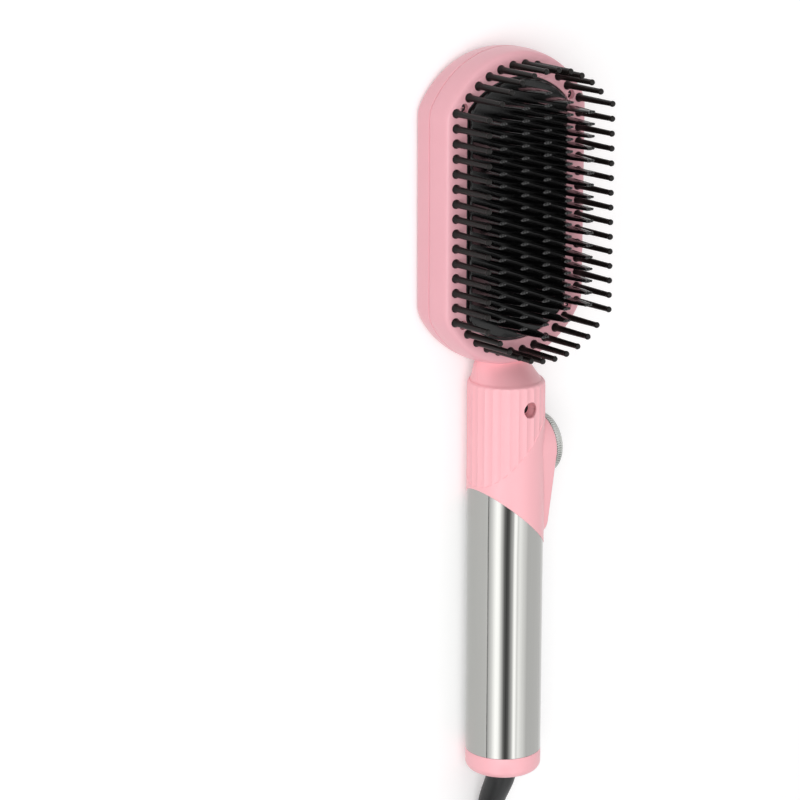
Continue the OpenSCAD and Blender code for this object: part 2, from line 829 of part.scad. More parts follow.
// Outline of the pod: a round head and a narrower round tail joined by tangent sides
function pod_points(inset) =
    let (lean = asin((pod_r - tail_r) / tail_from_dial))
    concat(
        arc([0, 0], pod_r - inset, -90 - lean, 90 + lean, 40, true),
        arc([-tail_from_dial, 0], tail_r - inset, 90 + lean, 270 - lean, 20, true)
    );

module pod_prism(inset, z0, z1) {
    translate([0, 0, z0]) linear_extrude(z1 - z0) polygon(pod_points(inset));
}

module dial_pod() {
    color("lightpink") difference() {
        pod_frame() difference() {
            loft([
                for (layer = [[pod_h, 0.9], [pod_h - 0.25, 0.3], [pod_h - 0.9, 0], [pod_foot_z, 0]])
                    [for (p = pod_points(layer[1])) [p[0], p[1], layer[0]]]
            ]);
            pod_prism(pod_wall, -1, pod_in_z);
            cylinder(r = skirt_r + run_gap, h = tube_d);
            translate([-button_from_dial, 0, 0]) cylinder(r = button_r + run_gap, h = tube_d);
        }
        bar_x(spine_r + slip / 2, cut_x - tube_d, shoulder_x);
    }
}

// Ring with a polished bezel, a knurl and a skirt that turns in the pod's hole; the display cup's flange
// lies over the ring's inner lip and keeps it on
module dial_ring() {
    knurl_in = 0.5;
    knurl_depth = 0.3;
    knurl_top_z = dial_z1 - 1;
    rib_angle = 180 / dial_ribs;
    color("silver") pod_frame() {
        rotate_extrude() polygon([
            [ring_in_r, skirt_z], [skirt_r, skirt_z], [skirt_r, dial_z0], [dial_r - knurl_in, dial_z0],
            [dial_r - knurl_in, dial_z1 - 0.8], [dial_r - 0.8, dial_z1 - 0.3], [dial_r - 1.3, dial_z1],
            [dial_bore_r + 0.3, dial_z1], [dial_bore_r, dial_z1 - 0.25], [dial_bore_r, ring_lip_z],
            [ring_in_r, ring_lip_z]
        ]);
        difference() {
            translate([0, 0, dial_z0]) linear_extrude(knurl_top_z - dial_z0) polygon([
                for (i = [0:2 * dial_ribs - 1])
                    (dial_r - (i % 2) * knurl_depth) * [cos(rib_angle * i), sin(rib_angle * i)]
            ]);
            cylinder(r = dial_r - knurl_in - 0.1, h = tube_d);
        }
    }
}

module dial_window() {
    color("#111111") pod_frame() translate([0, 0, window_z]) cylinder(r = window_r, h = window_t);
}

module display_cup() {
    color("dimgray") pod_frame() difference() {
        union() {
            translate([0, 0, board_top_z]) cylinder(r = cup_r, h = window_z - board_top_z);
            translate([0, 0, ring_lip_z + run_gap])
                cylinder(r = window_r, h = window_z - ring_lip_z - run_gap);
        }
        translate([0, 0, board_top_z - 1]) cylinder(r = cup_r - cup_wall, h = tube_d);
    }
}

module display_module() {
    color("black") pod_frame() translate([-5.5, -6, board_top_z]) cube([11, 12, window_z - board_top_z - slip]);
}

module dial_board() {
    color("seagreen") pod_frame() pod_prism(pod_wall + slip, board_z, board_top_z);
}

// Sensor that reads the ring's skirt
module dial_sensor() {
    color("black") pod_frame() translate([-skirt_r - 0.7, -2.5, board_top_z])
        cube([1.4, 5, skirt_z - run_gap - board_top_z]);
}

module push_button() {
    edge = 0.4;
    top_z = pod_h + button_proud;
    color("silver") pod_frame() translate([-button_from_dial, 0, 0]) rotate_extrude() polygon([
        [0, switch_top_z - plunger_in], [plunger_r, switch_top_z - plunger_in], [plunger_r, button_flange_z],
        [button_flange_r, button_flange_z], [button_flange_r, button_flange_z + button_flange_t],
        [button_r, button_flange_z + button_flange_t], [button_r, top_z - edge], [button_r - edge, top_z],
        [0, top_z]
    ]);
}

module tact_switch() {
    color("dimgray") pod_frame() translate([-button_from_dial, 0, 0]) difference() {
        translate([-switch_w / 2, -switch_w / 2, board_top_z]) cube([switch_w, switch_w, switch_h]);
        translate([0, 0, switch_top_z - plunger_in - button_travel - slip])
            cylinder(r = plunger_r + run_gap, h = switch_h);
    }
}

module control_board() {
    color("seagreen") translate([board_x0, board_y, axis_z - board_half_w])
        cube([board_len, main_board_t, 2 * board_half_w]);
}

module board_components() {
    color("gray") {
        // Capacitor, fuse, relay, controller and terminal block
        translate([board_x0 + 30, board_y - 6, axis_z + 3.5]) rotate([-90, 0, 0]) cylinder(r = 4, h = 6);
        translate([board_x0 + 40, board_y - 4.2, axis_z - 7]) cube([18, 4.2, 14]);
        translate([board_x0 + 64, board_y - 1.2, axis_z - 3.5]) cube([7, 1.2, 7]);
        translate([board_x0 + 2, board_y - 6, axis_z - 6]) cube([8, 6, 12]);
        translate([board_x0 + 14, board_y - 2.5, axis_z - 5]) rotate([0, 90, 0]) cylinder(r = 2.5, h = 10);
    }
}

module handle_tube() {
    color("gainsboro") difference() {
        tube_x(tube_r, tube_in_r, rim_x, cut_x + 1.5 * tube_d);
        slant(1, cut_x, cut_angle);
    }
}

// Cap on the end of the tube: rounded rim, spigot, web with the cord's hole and two posts for the clamp
module end_cap() {
    in_r = tube_in_r - slip / 2;
    bore_r = relief_r + slip;
    color("lightpink") difference() {
        union() {
            translate([cap_x, 0, axis_z]) rotate([0, 90, 0]) rotate_extrude() {
                polygon([
                    [bore_r, 0], [tube_r - cap_round, 0], [tube_r, cap_round], [tube_r, cap_len],
                    [in_r, cap_len], [in_r, cap_len + spigot_len], [in_r - spigot_wall, cap_len + spigot_len],
                    [in_r - spigot_wall, cap_web], [bore_r, cap_web]
                ]);
                intersection() {
                    translate([tube_r - cap_round, cap_round]) circle(cap_round);
                    translate([tube_r - cap_round, 0]) square(cap_round);
                }
            }
            for (s = [-1, 1]) intersection() {
                bar_x(post_r, cap_x + cap_web - 1, clamp_x, s * post_y);
                bar_x(in_r - 1, cap_x, clamp_x);
            }
        }
        for (s = [-1, 1]) bar_x(clamp_screw_r + screw_slip, cap_x + cap_web + 1, clamp_x + 1, s * post_y);
    }
}

// Bar across the end cap that holds the cord, with its two screws
module cord_clamp() {
    half_w = post_y + 1.8;
    color("gray") {
        difference() {
            translate([clamp_x, -half_w, axis_z - 3.5]) cube([clamp_t, 2 * half_w, 7]);
            bar_x(cord_r + screw_slip, clamp_x - 1, clamp_x + clamp_t + 1);
            for (s = [-1, 1]) bar_x(clamp_screw_r + screw_slip, clamp_x - 1, clamp_x + clamp_t + 1, s * post_y);
        }
        for (s = [-1, 1]) {
            bar_x(clamp_screw_r, cap_x + cap_web + 1.5, clamp_x + clamp_t + thin, s * post_y);
            bar_x(1.9, clamp_x + clamp_t, clamp_x + clamp_t + 1.2, s * post_y);
        }
    }
}

module mains_leads() {
    lead_r = 0.9;
    color("saddlebrown") for (s = [-1, 1]) wire([
        [jacket_end_x, s * 1.2, axis_z], [jacket_end_x + 4, s * 1.2, axis_z],
        [board_x0 - 2, board_y - 2.2, axis_z + s * 3], [board_x0 + 2, board_y - 2.2, axis_z + s * 3]
    ], lead_r);
}

// Ring of points round a path's point, square to the path
function sweep_ring(path, i, r, sides) =
    let (
        ahead = path[min(i + 1, len(path) - 1)],
        behind = path[max(i - 1, 0)],
        dir = (ahead - behind) / norm(ahead - behind),
        side = cross(dir, [0, 0, 1]) / norm(cross(dir, [0, 0, 1])),
        up = cross(side, dir)
    )
    [for (k = [0:sides - 1]) path[i] + r * (cos(360 * k / sides) * side + sin(360 * k / sides) * up)];

// A closed skin over rings that all have the same number of points
module loft(rings) {
    n = len(rings);
    sides = len(rings[0]);
    walls = [
        for (i = [0:n - 2], k = [0:sides - 1])
            [i * sides + k, i * sides + (k + 1) % sides, (i + 1) * sides + (k + 1) % sides, (i + 1) * sides + k]
    ];
    ends = [[for (k = [sides - 1:-1:0]) k], [for (k = [0:sides - 1]) (n - 1) * sides + k]];
    polyhedron([for (ring = rings) each ring], concat(walls, ends));
}

// A round tube swept along a path, with its own radius at each point
module sweep(path, radii, sides) {
    loft([for (i = [0:len(path) - 1]) sweep_ring(path, i, radii[i], sides)]);
}

module strain_relief() {
    color("#222222") {
        sweep(relief_path, relief_radii, 24);
        // Root and flange behind the end cap's web, then the cord's jacket as far as past the clamp
        bar_x(relief_r, cap_x - 0.3, cap_x + cap_web + 0.1);
        bar_x(relief_r + 1.2, cap_x + cap_web, cap_x + cap_web + relief_flange_t);
        bar_x(cord_r, cap_x + cap_web + 1, jacket_end_x);
    }
}

module cord() {
    color("#1a1a1a") {
        sweep(cord_path, [for (p = cord_path) cord_r], 10);
        sweep(plug_path, [for (p = plug_path) cord_r], 10);
    }
}

// Outer form of the coiled turns
module cord_coil() {
    foot = 1.5 * cord_d;
    top = 0.5 * cord_d;
    lean = cord_r * cos(30);
    color("#1a1a1a") translate([coil_x, coil_y, 0]) rotate_extrude() translate([coil_r, 0]) polygon([
        for (s = [-1, 1], p = [0:5])
            let (q = s < 0 ? p : 5 - p)
            [
                [-s * foot, cord_z - cord_r], [-s * (foot + cord_r * 0.7), cord_z - cord_r * 0.7],
                [-s * (foot + cord_r), cord_z], [-s * (foot + lean), cord_z + cord_r / 2],
                [-s * (top + lean), coil_top_z + cord_r / 2], [-s * top, coil_top_z + cord_r]
            ][q]
    ]);
}

// Flat plug with two round pins
module plug_body() {
    color("#222222") {
        translate([plug_x, plug_y, plug_z - plug_half_t]) linear_extrude(2 * plug_half_t) polygon([
            [0, -5.5], [7, -6.5], [17, -plug_half_w + 1.5], [21, -plug_half_w], [plug_len, -plug_half_w],
            [plug_len, plug_half_w], [21, plug_half_w], [17, plug_half_w - 1.5], [7, 6.5], [0, 5.5]
        ]);
        bar_x(4.4, plug_x - 14, plug_x + 1, plug_y, plug_z);
    }
}

module plug_pins() {
    pin_end_x = plug_x + plug_len + pin_len;
    color("gold") for (s = [-1, 1]) {
        bar_x(pin_r, plug_x + plug_len, pin_end_x - pin_r, plug_y + s * 9.3, plug_z);
        translate([pin_end_x - pin_r, plug_y + s * 9.3, plug_z]) sphere(pin_r);
    }
}

back_shell();
back_plate();
trim_ring();
front_bezel();
corner_screws();
heated_plate();
comb_row_1();
comb_row_2();
comb_row_3();
comb_row_4();
comb_row_5();
plate_gasket();
heating_elements();
insulating_sheet();
pressure_plate();
pressure_screws();
temperature_sensor();
thermal_fuse();
heater_leads();
side_bristles_left();
side_bristles_right();
tip_bristles();
neck_bristles();
neck_front();
neck_rear();
neck_screw();
spine();
spine_screws();
dial_pod();
dial_ring();
dial_window();
display_cup();
display_module();
dial_board();
dial_sensor();
push_button();
tact_switch();
control_board();
board_components();
handle_tube();
end_cap();
cord_clamp();
mains_leads();
strain_relief();
cord();
cord_coil();
plug_body();
plug_pins();
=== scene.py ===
# %% [markdown]
# # A hair straightening brush
#
# The brush lies on its flat back with the bristles up. Its head is a pink two-piece moulding round a black
# heated plate with comb blades, and plain bristles stand round the plate so that the skin keeps clear of it.
# A fluted pink neck joins the head to a polished steel handle, with a dial and a button at one side.
#
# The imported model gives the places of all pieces. This script makes what the eye sees: it replaces the plain
# solids where finer forms are needed, and gives every piece its finish.

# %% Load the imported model
from math import asin, atan2, cos, degrees, pi, radians, sin, sqrt, tan

import bpy
import bmesh
from mathutils import Matrix, Vector


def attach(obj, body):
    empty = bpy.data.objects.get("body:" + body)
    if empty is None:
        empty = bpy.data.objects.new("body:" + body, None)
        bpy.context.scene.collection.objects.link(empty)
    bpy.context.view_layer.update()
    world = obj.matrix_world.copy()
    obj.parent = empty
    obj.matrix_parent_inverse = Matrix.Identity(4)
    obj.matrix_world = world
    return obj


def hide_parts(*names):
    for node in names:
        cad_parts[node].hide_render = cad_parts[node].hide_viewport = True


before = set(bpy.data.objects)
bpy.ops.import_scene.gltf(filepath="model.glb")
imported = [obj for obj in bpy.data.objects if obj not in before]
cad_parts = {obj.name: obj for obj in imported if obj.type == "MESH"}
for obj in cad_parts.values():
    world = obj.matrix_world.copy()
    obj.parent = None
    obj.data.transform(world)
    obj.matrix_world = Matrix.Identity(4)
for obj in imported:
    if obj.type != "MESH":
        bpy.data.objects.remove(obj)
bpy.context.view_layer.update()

# %% [markdown]
# ## The camera
#
# A photograph fixes where the camera stood, how it was turned and how long its lens was. The brush's long
# axis is upright in the picture, so the camera's own right is square to that axis. A long lens from more than
# a metre away gives the slight narrowing towards the handle's end.

# %% Put the camera where the photograph was taken from
eye = Vector((0.3204, 0.7436, 0.9011))
eye_turn, eye_lift = radians(66.225), radians(49.587)
back = Vector((cos(eye_lift) * cos(eye_turn), cos(eye_lift) * sin(eye_turn), sin(eye_lift)))
right = Vector((1, 0, 0)).cross(back).normalized()
sensor_mm, photo_px, focal_px = 36, 800, 2998.5

lens = bpy.data.cameras.new("photo_camera")
lens.sensor_width = sensor_mm
lens.lens = lens.sensor_width * focal_px / photo_px
camera = bpy.data.objects.new("photo_camera", lens)
camera.matrix_world = Matrix.Translation(eye) @ Matrix((right, back.cross(right), back)).transposed().to_4x4()
bpy.context.collection.objects.link(camera)
bpy.context.scene.camera = camera
bpy.context.scene.view_settings.view_transform = "Standard"
print("lens:", round(lens.lens, 1), "mm")

# %% [markdown]
# ## Helpers for nodes
#
# Materials and Geometry Nodes are both node trees. One small class puts any node on a tree: it takes the
# node's type, its settings, and then its sockets. A second class wraps a socket, so that plain Python
# arithmetic adds the Math nodes, which keeps formulas readable. clamped() keeps a value between 0 and 1.

# %% Socket arithmetic
class Value:
    """A socket on a board; operators, maths() and clamped() add Math nodes."""

    def __init__(self, board, socket):
        self.board, self.socket = board, socket

    def maths(self, operation, *others, swap=False, clamp=False):
        terms = [self, *others]
        if swap:
            terms.reverse()
        return self.board.node("ShaderNodeMath", dict(enumerate(terms)), operation=operation, use_clamp=clamp)

    def clamped(self):
        return self.maths("ADD", 0, clamp=True)

    def __add__(self, other):
        return self.maths("ADD", other)

    def __sub__(self, other):
        return self.maths("SUBTRACT", other)

    def __rsub__(self, other):
        return self.maths("SUBTRACT", other, swap=True)

    def __mul__(self, other):
        return self.maths("MULTIPLY", other)

    def __truediv__(self, other):
        return self.maths("DIVIDE", other)

    def __pow__(self, other):
        return self.maths("POWER", other)

    __radd__ = __add__
    __rmul__ = __mul__


class Board:
    """A node tree with one way to put a node on it."""

    def __init__(self, tree):
        self.tree = tree

    def node(self, kind, sockets=None, out=0, stops=None, **settings):
        made = self.tree.nodes.new(kind)
        for name, value in settings.items():
            setattr(made, name, value)
        for k, (at, colour) in enumerate(stops or []):
            elements = made.color_ramp.elements
            stop = elements[k] if k < 2 else elements.new(at)
            stop.position, stop.color = at, colour
        for name, value in (sockets or {}).items():
            for one in value if isinstance(value, list) else [value]:
                if isinstance(one, Value):
                    self.tree.links.new(one.socket, made.inputs[name])
                else:
                    made.inputs[name].default_value = one
        return Value(self, made.outputs[out]) if made.outputs else made


# %% [markdown]
# ## Helpers for meshes
#
# Most housings are lofts: rings of points with the same number of points each, joined by quads. Sizes are
# written in millimetres, as on a drawing, and become metres when the mesh is made. Shading is smooth, with
# the edges kept sharp above a given angle.

# %% Make a piece from rings
MM = 0.001
EDGE = 32  # degrees above which an edge stays sharp


def skin(rings, closed=False):
    """Quads between neighbouring rings. An open skin gets its two ends filled."""
    n, count = len(rings[0]), len(rings)
    faces = []
    for i in range(count if closed else count - 1):
        a, b = i * n, (i + 1) % count * n
        faces += [(a + k, a + (k + 1) % n, b + (k + 1) % n, b + k) for k in range(n)]
    if not closed:
        faces += [tuple(range(n)), tuple(range((count - 1) * n, count * n))]
    return [p for ring in rings for p in ring], faces


def piece(name, skins, material=None, sharp=EDGE):
    """One object from skins in millimetres, its faces turned outwards."""
    points, faces = [], []
    for some_points, some_faces in skins:
        faces += [tuple(len(points) + k for k in face) for face in some_faces]
        points += some_points
    mesh = bpy.data.meshes.new(name)
    mesh.from_pydata([Vector(p) * MM for p in points], [], faces)
    obj = bpy.data.objects.new(name, mesh)
    bpy.context.collection.objects.link(obj)
    turn_outwards(obj)
    soften(obj, sharp)
    if material:
        mesh.materials.append(material)
    return obj


def turn_outwards(obj):
    work = bmesh.new()
    work.from_mesh(obj.data)
    bmesh.ops.remove_doubles(work, verts=work.verts, dist=1e-7)
    bmesh.ops.recalc_face_normals(work, faces=work.faces)
    work.to_mesh(obj.data)
    work.free()


def soften(obj, sharp):
    obj.data.shade_smooth()
    obj.data.set_sharp_from_angle(angle=radians(sharp))


# %% Settle modifiers and put a piece in place of CAD nodes
def settle(obj, sharp=EDGE):
    """Takes the evaluated shape as the object's own mesh and drops its modifiers."""
    graph = bpy.context.evaluated_depsgraph_get()
    mesh = bpy.data.meshes.new_from_object(obj.evaluated_get(graph), preserve_all_data_layers=True, depsgraph=graph)
    obj.modifiers.clear()
    obj.data = mesh
    soften(obj, sharp)
    return obj


def stands_for(obj, body, slot, *nodes):
    """The piece rides on a body and takes the place of CAD nodes."""
    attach(obj, body)
    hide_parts(*nodes)
    print(obj.name, "faces:", len(obj.data.polygons) if obj.type == "MESH" else "curve")
    return obj


def cut_away(obj, *cutters, sharp=EDGE):
    """Boolean cuts, after which the cutters are gone."""
    for cutter in cutters:
        cut = obj.modifiers.new("cut", "BOOLEAN")
        cut.operation, cut.solver, cut.object = "DIFFERENCE", "EXACT", cutter
    settle(obj, sharp)
    for cutter in cutters:
        bpy.data.objects.remove(cutter)
    return obj


def joined(obj, other):
    """Both shapes as one mesh, in the first one's object and finish."""
    work = bmesh.new()
    work.from_mesh(obj.data)
    work.from_mesh(other.data)
    for face in work.faces:
        face.material_index = 0
    work.to_mesh(obj.data)
    work.free()
    bpy.data.objects.remove(other)
    return obj


# %% Smooth lines through a few stations, and round rings
def through(stations, steps):
    """A Catmull-Rom line through the stations, with that many steps between two."""
    rows = [tuple(s) for s in stations]
    rows = [rows[0], *rows, rows[-1]]
    line = []
    for i in range(1, len(rows) - 2):
        for k in range(steps):
            t = k / steps
            line.append(tuple(
                0.5 * (2 * b + (c - a) * t + (2 * a - 5 * b + 4 * c - d) * t * t + (3 * b - a - 3 * c + d) * t ** 3)
                for a, b, c, d in zip(*rows[i - 1:i + 3])
            ))
    return line + [rows[-1]]


def circle(r, sides, centre=(0, 0)):
    """Points evenly round a centre."""
    return [(centre[0] + r * cos(2 * pi * k / sides), centre[1] + r * sin(2 * pi * k / sides)) for k in range(sides)]


# %% [markdown]
# ## The cord
#
# A mains lead is a fixed length of round cable. It leaves the strain relief, drops to the table, runs back
# in line with the handle and lies wound up in a neat coil with its plug on it, as it is stored. The coil
# has lanes a cord's diameter apart. The centreline is given by its turn, its lane's radius and its height,
# eased between the places where it changes lanes, climbs to the next layer, or passes over itself.

# %% Route of the cord in millimetres
cord_d = 5.6
cord_z, layer_2, layer_3 = 2.9, 8.1, 13.3
coil_x, coil_y = -243, 41.4
plug_x, plug_y, plug_z = coil_x + 1, coil_y + 23, 23
to_coil = [(-195, 0, 3.6), (-202, 0, 3), *((x, 0, cord_z) for x in (-209, -218, -227, -236))]
to_plug = [
    (coil_x - 33.2, coil_y + 8.8, 21.2), (coil_x - 28.3, coil_y + 16.3, 22), (coil_x - 20.8, coil_y + 21.3, 22.6),
    (coil_x - 12, plug_y, plug_z), (coil_x - 8, plug_y, plug_z)
]
# Turn in degrees, radius of the lane, height
lanes = [
    (0, 41.4, cord_z), (225, 41.4, cord_z), (335, 35.8, cord_z), (585, 35.8, cord_z), (695, 30.2, cord_z),
    (945, 30.2, cord_z), (1055, 24.6, cord_z), (1200, 24.6, cord_z), (1300, 27.4, layer_2),
    (1450, 27.4, layer_2), (1565, 33, layer_2), (1810, 33, layer_2), (1925, 38.6, layer_2),
    (2125, 38.6, layer_2), (2185, 34.8, 13.4), (2240, 30.2, layer_3), (2380, 30.2, layer_3),
    (2480, 35.8, layer_3), (2550, 35.8, 18.9), (2610, 35, 20.4)
]


def lane_at(turn):
    """Radius and height of the centreline at a turn, eased between the lanes' ends."""
    for (t0, r0, z0), (t1, r1, z1) in zip(lanes, lanes[1:]):
        if turn <= t1:
            ease = (1 - cos(pi * (turn - t0) / (t1 - t0))) / 2
            return r0 + (r1 - r0) * ease, z0 + (z1 - z0) * ease


coil, turn_step = [], 15
for turn in range(0, lanes[-1][0] + 1, turn_step):
    radius, height = lane_at(turn)
    coil.append((coil_x - radius * sin(radians(turn)), coil_y - radius * cos(radians(turn)), height))
route = to_coil + coil + to_plug

# %% The cord as one curve
cord_curve = bpy.data.curves.new("mains_cord", "CURVE")
cord_curve.dimensions = "3D"
cord_curve.bevel_depth = cord_d / 2 * MM
cord_curve.bevel_resolution = 4
cord_curve.resolution_u = 4
cord_curve.use_fill_caps = True
line = cord_curve.splines.new("BEZIER")
line.bezier_points.add(len(route) - 1)
for knot, p in zip(line.bezier_points, route):
    knot.co = Vector(p) * MM
    knot.handle_left_type = knot.handle_right_type = "AUTO"
mains_cord = bpy.data.objects.new("mains_cord", cord_curve)
bpy.context.collection.objects.link(mains_cord)
bpy.context.view_layer.update()

# %% [markdown]
# ## Finishes
#
# The mouldings are satin pink plastic with the faint grain and uneven gloss of a real moulding. The bristles
# are plain nylon, the plate and its blades carry a smooth black coating, the handle is polished steel and the
# dial is bright metal. Each finish is a node material on Object coordinates, so it stays with its piece.

# %% Colours and the parts that all finishes share
def colour(code):
    """Linear colour of a six-digit code, as the shader wants it."""
    parts = [int(code[i:i + 2], 16) / 255 for i in (0, 2, 4)]
    return (*[c / 12.92 if c <= 0.04045 else ((c + 0.055) / 1.055) ** 2.4 for c in parts], 1)


def blank(name):
    material = bpy.data.materials.new(name)
    material.use_nodes = True
    material.node_tree.nodes.clear()
    return material, Board(material.node_tree)


def noise(board, scale, detail=3, stretch=None):
    """Noise on the piece's own coordinates, with an even spread about one half."""
    place = board.node("ShaderNodeTexCoord", out="Object")
    if stretch:
        place = board.node("ShaderNodeVectorMath", {0: place, 1: stretch}, operation="MULTIPLY")
    return board.node("ShaderNodeTexNoise", {"Vector": place, "Scale": scale, "Detail": detail})


def mix(board, factor, one, other):
    return board.node("ShaderNodeMix", {0: factor, 6: one, 7: other}, out=2, data_type="RGBA")


def bump(board, height, distance, strength=1.0):
    return board.node("ShaderNodeBump", {"Height": height, "Distance": distance, "Strength": strength})


def close(material, board, **sockets):
    """Ends a finish in one Principled shader."""
    names = {name.replace("_", " "): value for name, value in sockets.items()}
    shader = board.node("ShaderNodeBsdfPrincipled", names)
    board.node("ShaderNodeOutputMaterial", {"Surface": shader})
    return material


# %% Moulded plastics
def moulded(name, light, dark, roughness, grain=0.00002, shine=0.5):
    """Plastic out of a mould: two close shades, uneven gloss and a fine grain."""
    material, board = blank(name)
    cloud = noise(board, 28, 2)
    fine = noise(board, 2600, 2)
    return close(
        material, board,
        Base_Color=mix(board, cloud, colour(light), colour(dark)),
        Roughness=roughness - 0.05 + 0.06 * cloud + 0.04 * fine,
        Specular_IOR_Level=shine,
        Normal=bump(board, fine, grain),
    )


pink = moulded("pink_plastic", "F0B4BD", "ECABB5", 0.31)
pink_panel = moulded("pink_panel_plastic", "FFBCBC", "F9B2B3", 0.3)
pink_neck = moulded("pink_neck_plastic", "FFBFC6", "FCB5BD", 0.33)
nylon = moulded("black_nylon", "15110F", "0D0B0A", 0.36, 0.00003, 0.22)
black_rubber = moulded("black_rubber", "1F2021", "161718", 0.42, 0.00004, 0.35)
inner_grey = moulded("grey_inner_plastic", "8E9093", "85878A", 0.5)
frame_white = moulded("white_inner_plastic", "EDEDEA", "E3E3DF", 0.5)
print("plastics: 7")


# %% Metals and coatings
def metal(name, tint, roughness, brushed=0.0, along=(4, 400, 400)):
    """Metal with faint drawn lines along one direction."""
    material, board = blank(name)
    drawn = noise(board, 6, 4, along)
    return close(
        material, board,
        Base_Color=mix(board, drawn, colour(tint), tuple(0.94 * c for c in colour(tint)[:3]) + (1,)),
        Metallic=1.0,
        Roughness=roughness + brushed * drawn,
        Normal=bump(board, drawn, 0.000004),
    )


polished_steel = metal("polished_steel", "AFAFAC", 0.045, 0.02)
dial_silver = metal("dial_silver", "BFC0BD", 0.22, 0.1, (300, 300, 300))
mauve_metal = metal("mauve_metal", "B98A90", 0.28, 0.1, (40, 40, 40))
plain_steel = metal("plain_steel", "B4B5B6", 0.32, 0.12, (60, 60, 60))
dark_screw = metal("dark_screw", "3A3A3C", 0.35, 0.15, (200, 200, 200))


def coated(name, tint, roughness, speck, shine=0.35):
    """Black heat-proof coating: smooth, with a very fine orange peel and a clear top."""
    material, board = blank(name)
    peel = noise(board, 1500, 2)
    patch = noise(board, 60, 2)
    return close(
        material, board,
        Base_Color=mix(board, patch, colour(tint), colour(speck)),
        Roughness=roughness + 0.08 * patch,
        Coat_Weight=0.2, Coat_Roughness=0.08, Specular_IOR_Level=shine,
        Normal=bump(board, peel, 0.000012),
    )


plate_coating = coated("plate_coating", "0B0B0C", 0.2, "070708")
blade_coating = coated("blade_coating", "09090A", 0.16, "060607", 0.6)
window_glass = coated("window_glass", "070708", 0.06, "050506")
print("metals and coatings: 8")

# %% [markdown]
# ## The head
#
# The head is a long oval with two rounded ends. Its back shell and its front bezel meet at a parting line
# half-way up. Both are lofts of the same outline, moved inwards step by step, so that their sides flow over
# in soft roundings. The bezel's face runs on to the opening for the heated plate, whose outline has the same
# number of points, so one closed skin makes the whole frame.

# %% The head's outlines
head_x, head_len, head_w = 86, 126, 72
head_end_r, head_corner_r = 40, 12
parting_z, face_z = 11, 21.5
plate_half_l, plate_half_w, plate_end_r, plate_corner_r = 51.5, 24.5, 34, 3


def oval(half_l, half_w, end_r, corner_r, end_steps=36, corner_steps=10):
    """Outline with two flat sides, two round ends and four rounded corners, as in the CAD."""
    end_c = half_l - end_r
    cx = end_c + sqrt((end_r - corner_r) ** 2 - (half_w - corner_r) ** 2)
    cy = half_w - corner_r
    turn = degrees(atan2(cy, cx - end_c))
    # Centre, radius, first and last angle, steps, and whether the last point is kept
    arcs = [
        (end_c, 0, end_r, -turn, turn, end_steps, 0),
        (cx, cy, corner_r, turn, 90, corner_steps, 1),
        (-cx, cy, corner_r, 90, 180 - turn, corner_steps, 0),
        (-end_c, 0, end_r, 180 - turn, 180 + turn, end_steps, 0),
        (-cx, -cy, corner_r, 180 + turn, 270, corner_steps, 1),
        (cx, -cy, corner_r, 270, 360 - turn, corner_steps, 0)
    ]
    return [
        (x + r * cos(radians(a + (b - a) * i / n)), y + r * sin(radians(a + (b - a) * i / n)))
        for x, y, r, a, b, n, last in arcs for i in range(n + last)
    ]


def head_ring(z, inset):
    sizes = (head_len / 2, head_w / 2, head_end_r, head_corner_r)
    return [(head_x + x, y, z) for x, y in oval(*[size - inset for size in sizes])]


def plate_ring(z, out):
    sizes = (plate_half_l, plate_half_w, plate_end_r, plate_corner_r)
    return [(head_x + x, y, z) for x, y in oval(*[size + out for size in sizes])]


# %% Back shell, back plate and trim ring
shell_side = through([(0.2, 3.6), (0.9, 2.5), (2.2, 1.6), (4, 0.9), (7, 0.3), (10.6, 0.0)], 5)
back_shell = piece("back_shell_moulding", [skin(
    [head_ring(z, s) for z, s in [(1.6, 12), (1.6, 3.5), (0.5, 3.5), (0.25, 3.52), *shell_side, (10.9, 0.06),
                                  (parting_z, 0.25), (parting_z, 2), (5.5, 3), (3.5, 4.7), (3.5, 12)]]
)], pink)
stands_for(back_shell, "root", "pink_shell", "back_shell")

back_plate = piece("back_panel", [skin(
    [head_ring(z, s) for z, s in [(0, 12), (0, 6.1), (0.08, 5.87), (0.35, 5.8), (0.35, 5.4), (0.42, 5.25), (0.6, 5.2),
                                  (1.5, 5.2), (1.5, 12)]]
)], pink_panel)
stands_for(back_plate, "root", "pink_panel", "back_plate")

trim_ring = piece("trim_line", [skin(
    [head_ring(z, s) for z, s in [(0.5, 3.9), (0.42, 4.35), (0.5, 4.8), (0.7, 5.15), (1.5, 5.15), (1.5, 3.55),
                                  (0.7, 3.55)]], closed=True
)], mauve_metal)
stands_for(trim_ring, "root", "mauve_trim", "trim_ring")

# %% Front bezel with its four screw wells
bezel_side = through([(parting_z + 0.5, 0.1), (parting_z + 3, 0), (face_z - 3, 0.5), (face_z - 1.1, 1),
                      (face_z - 0.35, 1.7), (face_z, 2.9)], 6)
front_bezel = piece("front_bezel_moulding", [skin(
    [head_ring(z, s) for z, s in [(parting_z, 2.2), (parting_z, 0.45), (parting_z + 0.15, 0.25), *bezel_side,
                                  (face_z, 4.2)]]
    + [plate_ring(z, g) for z, g in [(face_z, 1.5), (face_z, 1.25), (face_z - 0.1, 1.0), (face_z - 0.35, 0.9),
                                     (face_z - 2, 0.9)]]
    + [head_ring(z, s) for z, s in [(face_z - 2.2, 7), (face_z - 2.4, 5.5), (face_z - 4, 3)]], closed=True
)], pink)


def rod(name, r, centre, z0, z1):
    return piece(name, [skin([[(x, y, z) for x, y in circle(r, 40, centre)] for z in (z0, z1)])])


